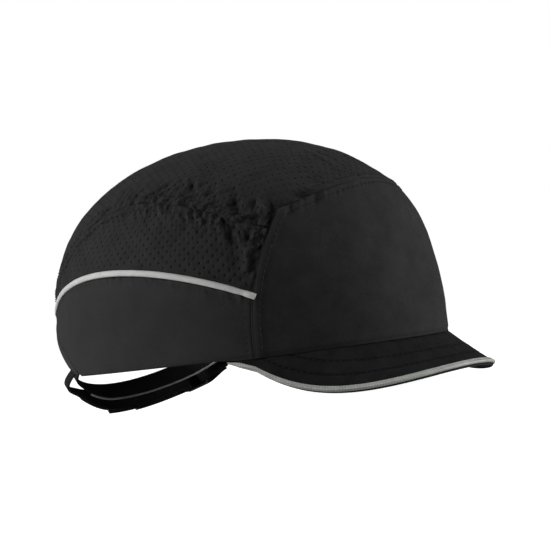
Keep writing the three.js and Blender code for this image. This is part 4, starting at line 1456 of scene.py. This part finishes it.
def thread_look(name, dark, light):
    n = Nodes(name)
    twist = n.put("ShaderNodeTexWave", {"Vector": n.place(), "Scale": 1 / (0.5 * MM), "Distortion": 2.0})
    colour = n.ramp(twist.outputs[1], 0.0, 1.0, grey(dark), grey(light))
    return n.finish(colour, twist.outputs[1], 0.08, 0.75, 0.2)


def light_tape(name):
    return tape_look(name, 0.46, 0.56, (1.0, 1.0, 0.985), 1.2, 0.6, 0.25)


def make_materials():
    return {
        "woven": cloth_look("woven cloth", 0.0120, 0.0184, 0.09, 11.0),
        "side": cloth_look("side cloth", 0.0165, 0.0215, 0.08, 20.0),
        "brim": cloth_look("brim cloth", 0.0056, 0.0112, 0.08, 10.0, specular=0.08, sheen=0.01,
                           rows=BRIM_ROWS),
        "under": cloth_look("brim under cloth", 0.028, 0.033, 0.12, 18.0, (0.98, 1.0, 0.92)),
        "mesh": mesh_look("perforated cloth"),
        "piping": light_tape("piping tape"),
        "binding": tape_look("brim binding tape", 0.32, 0.42, (0.97, 1.0, 0.93), 1.5, 0.5, 0.4),
        "arch": tape_look("arch binding tape", 0.018, 0.026, (1.0, 1.0, 1.0), 1.5, 0.7, 0.2),
        "seam": tape_look("seam tape", 0.012, 0.02, (1.0, 1.0, 1.0), 1.2, 0.8, 0.15),
        "webbing": webbing_look("webbing", 0.0045, 0.011),
        "towel": towel_look("towelling"),
        "foam": foam_look("foam"),
        "patch": patch_look("hook and loop"),
        "shell": plastic_look("shell plastic", 0.045, 0.06, 1.5, 0.05, 0.45),
        "ring": plastic_look("loop plastic", 0.006, 0.010, 0.8, 0.03, 0.45, 0.25),
        "board": plastic_look("board plastic", 0.3, 0.36, 1.0, 0.04, 0.5),
        # Lit and shaded copies of one thread: sewing thread is lighter for a painted highlight, the other
        # darker for painted shade.
        "thread": thread_look("sewing thread", 0.020, 0.042),
        "shaded thread": thread_look("dark sewing thread", 0.006, 0.013),
    }


LOOK_OF = {
    "front_panel_cloth": "woven", "lower_side_cloth": "side", "upper_side_cloth": "mesh",
    "top_strip_cloth": "mesh", "piping_tape": "piping", "arch_binding": "arch", "seam_tape": "seam",
    "brim_cover_top": "brim", "brim_cover_under": "under", "brim_board": "board", "brim_binding": "binding",
    "sweatband": "towel", "strap_webbing": "webbing", "strap_tab": "webbing", "strap_tail": "webbing",
    "strap_backing": "webbing", "nape_band_webbing": "webbing", "nape_band_edge": "piping",
    "strap_hook": "patch", "strap_loop_tape": "patch",
    "strap_loop_ring": "ring", "shell_dome": "shell", "pad_": "foam", "brow_foam": "foam",
    # The front rows take the thread with painted highlight, the other rows the thread with painted shade.
    "crown_stitching": "shaded thread", "brim_stitching": "shaded thread", "front_stitching": "thread",
}


def dress(looks):
    """Gives each piece the look that its name's beginning stands for."""
    for piece in bpy.context.scene.collection.objects:
        for start, look in LOOK_OF.items():
            if piece.name.startswith(start):
                piece.data.materials.append(looks[look])


# ---- stage, light and camera -----------------------------------------------------------------------

VIEW = {"azimuth": 52.865, "height": -0.233, "roll": 7.488, "distance": 1500.0, "aim": 40.0,
        "focal": 176.9, "right": 17.8, "up": 3.6}
FLOOR_REACH = 40.0


def make_floor():
    """A wide pale floor, seen from above only, with a faint glow so that it meets the pale background."""
    clearance = 0.0002
    lowest = cad_box[0].z - clearance
    mesh = bpy.data.meshes.new("floor")
    corners = [(x * FLOOR_REACH, y * FLOOR_REACH, lowest) for x, y in ((-1, -1), (1, -1), (1, 1), (-1, 1))]
    mesh.from_pydata(corners, [], [(0, 1, 2, 3)])
    floor = bpy.data.objects.new("floor", mesh)
    bpy.context.scene.collection.objects.link(floor)
    n = Nodes("pale floor")
    speck = n.ramp(n.noise(3.0, 2.0, 0.5), 0.3, 0.7, grey(0.50), grey(0.54))
    matte = n.put("ShaderNodeBsdfDiffuse", {"Color": speck})
    seen = n.put("ShaderNodeLightPath").outputs["Is Camera Ray"]
    glow = n.put("ShaderNodeEmission", {"Color": (1, 1, 1, 1), "Strength": n.math("MULTIPLY", seen, 0.975)})
    lit = n.put("ShaderNodeAddShader", {0: matte.outputs[0], 1: glow.outputs[0]})
    clear = n.put("ShaderNodeBsdfTransparent")
    below = n.put("ShaderNodeNewGeometry").outputs["Backfacing"]
    both = n.put("ShaderNodeMixShader", {0: below, 1: lit.outputs[0], 2: clear.outputs[0]})
    n.put("ShaderNodeOutputMaterial", {"Surface": both.outputs[0]})
    mesh.materials.append(n.owner)


def make_world():
    """White where the camera sees it, and a faint light on the object."""
    world = bpy.data.worlds.new("studio")
    n = Nodes(world)
    seen = n.put("ShaderNodeLightPath").outputs["Is Camera Ray"]
    white, faint = (n.put("ShaderNodeBackground", {0: (1, 1, 1, 1), 1: power}) for power in (1.0, 0.06))
    both = n.put("ShaderNodeMixShader", {0: seen, 1: faint.outputs[0], 2: white.outputs[0]})
    n.put("ShaderNodeOutputWorld", {0: both.outputs[0]})
    bpy.context.scene.world = world


def softbox(name, place, aim, size, power):
    lamp = bpy.data.lights.new(name, "AREA")
    lamp.shape = "RECTANGLE"
    lamp.size, lamp.size_y = size
    lamp.energy = power
    lamp.use_shadow = True
    box = bpy.data.objects.new(name, lamp)
    box.location = place
    box.rotation_euler = (Vector(aim) - Vector(place)).to_track_quat("-Z", "Y").to_euler()
    box.visible_camera = False
    bpy.context.scene.collection.objects.link(box)


def view_directions(lift):
    """The way to the right of the view, and back along it from the object, raised by lift."""
    turn = math.radians(VIEW["azimuth"])
    right = Vector((math.cos(turn), -math.sin(turn), 0))
    back = Vector((-math.sin(turn) * math.cos(lift), -math.cos(turn) * math.cos(lift), math.sin(lift)))
    return right, back


def make_lights():
    """Softboxes placed round the camera's line of sight: left, right, above and behind."""
    right, back = view_directions(0.0)
    up = Vector((0, 0, 1))
    aim = (0, 0, 0.05)
    softbox("left softbox", right * -1.3 + back * 0.2 + up * 0.5, aim, (0.5, 0.9), 19.6)
    softbox("right softbox", right * 1.3 + back * 0.23 + up * 0.45, aim, (0.5, 0.9), 20.4)
    softbox("top softbox", back * -0.5 + up * 1.1 + right * -0.6, aim, (0.7, 0.7), 1.5)
    softbox("low softbox", up * -1.2, aim, (0.8, 0.8), 5)
    softbox("front fill", back * 1.6 + up * 0.5, aim, (1.0, 1.0), 0.15)


def make_camera():
    right, back = view_directions(math.radians(VIEW["height"]))
    up = back.cross(right)
    roll = math.radians(VIEW["roll"])
    tilted_right = right * math.cos(roll) - up * math.sin(roll)
    tilted_up = right * math.sin(roll) + up * math.cos(roll)
    place = Vector((0, 0, VIEW["aim"])) + back * VIEW["distance"]
    aim = Vector((0, 0, VIEW["aim"])) + tilted_right * VIEW["right"] + tilted_up * VIEW["up"]
    away = (place - aim).normalized()
    across = tilted_up.cross(away).normalized()
    camera = bpy.data.objects.new("camera", bpy.data.cameras.new("camera"))
    camera.data.lens = VIEW["focal"]
    camera.data.sensor_width = 36
    camera.data.clip_end = 50
    turn_matrix = Matrix((across, away.cross(across), away)).transposed()
    camera.matrix_world = Matrix.Translation(place * MM) @ turn_matrix.to_4x4()
    bpy.context.scene.collection.objects.link(camera)
    bpy.context.scene.camera = camera


# ---- the whole -------------------------------------------------------------------------------------

make_front_panel()
for side, hand, seed in SIDES:
    make_lower_side(side, hand, seed + 10)
    make_upper_side(side, hand, seed)
    make_piping(side, hand)
make_top_strip()
make_arch_binding()
make_seam_tape()
make_brim()
make_strap_base()
make_loop_tab()
make_strap_tail()
make_nape_band()
make_loop()
make_inside()
make_stitching()
dress(make_materials())
make_floor()
make_world()
make_lights()
make_camera()
bpy.context.scene.view_settings.view_transform = "Standard"
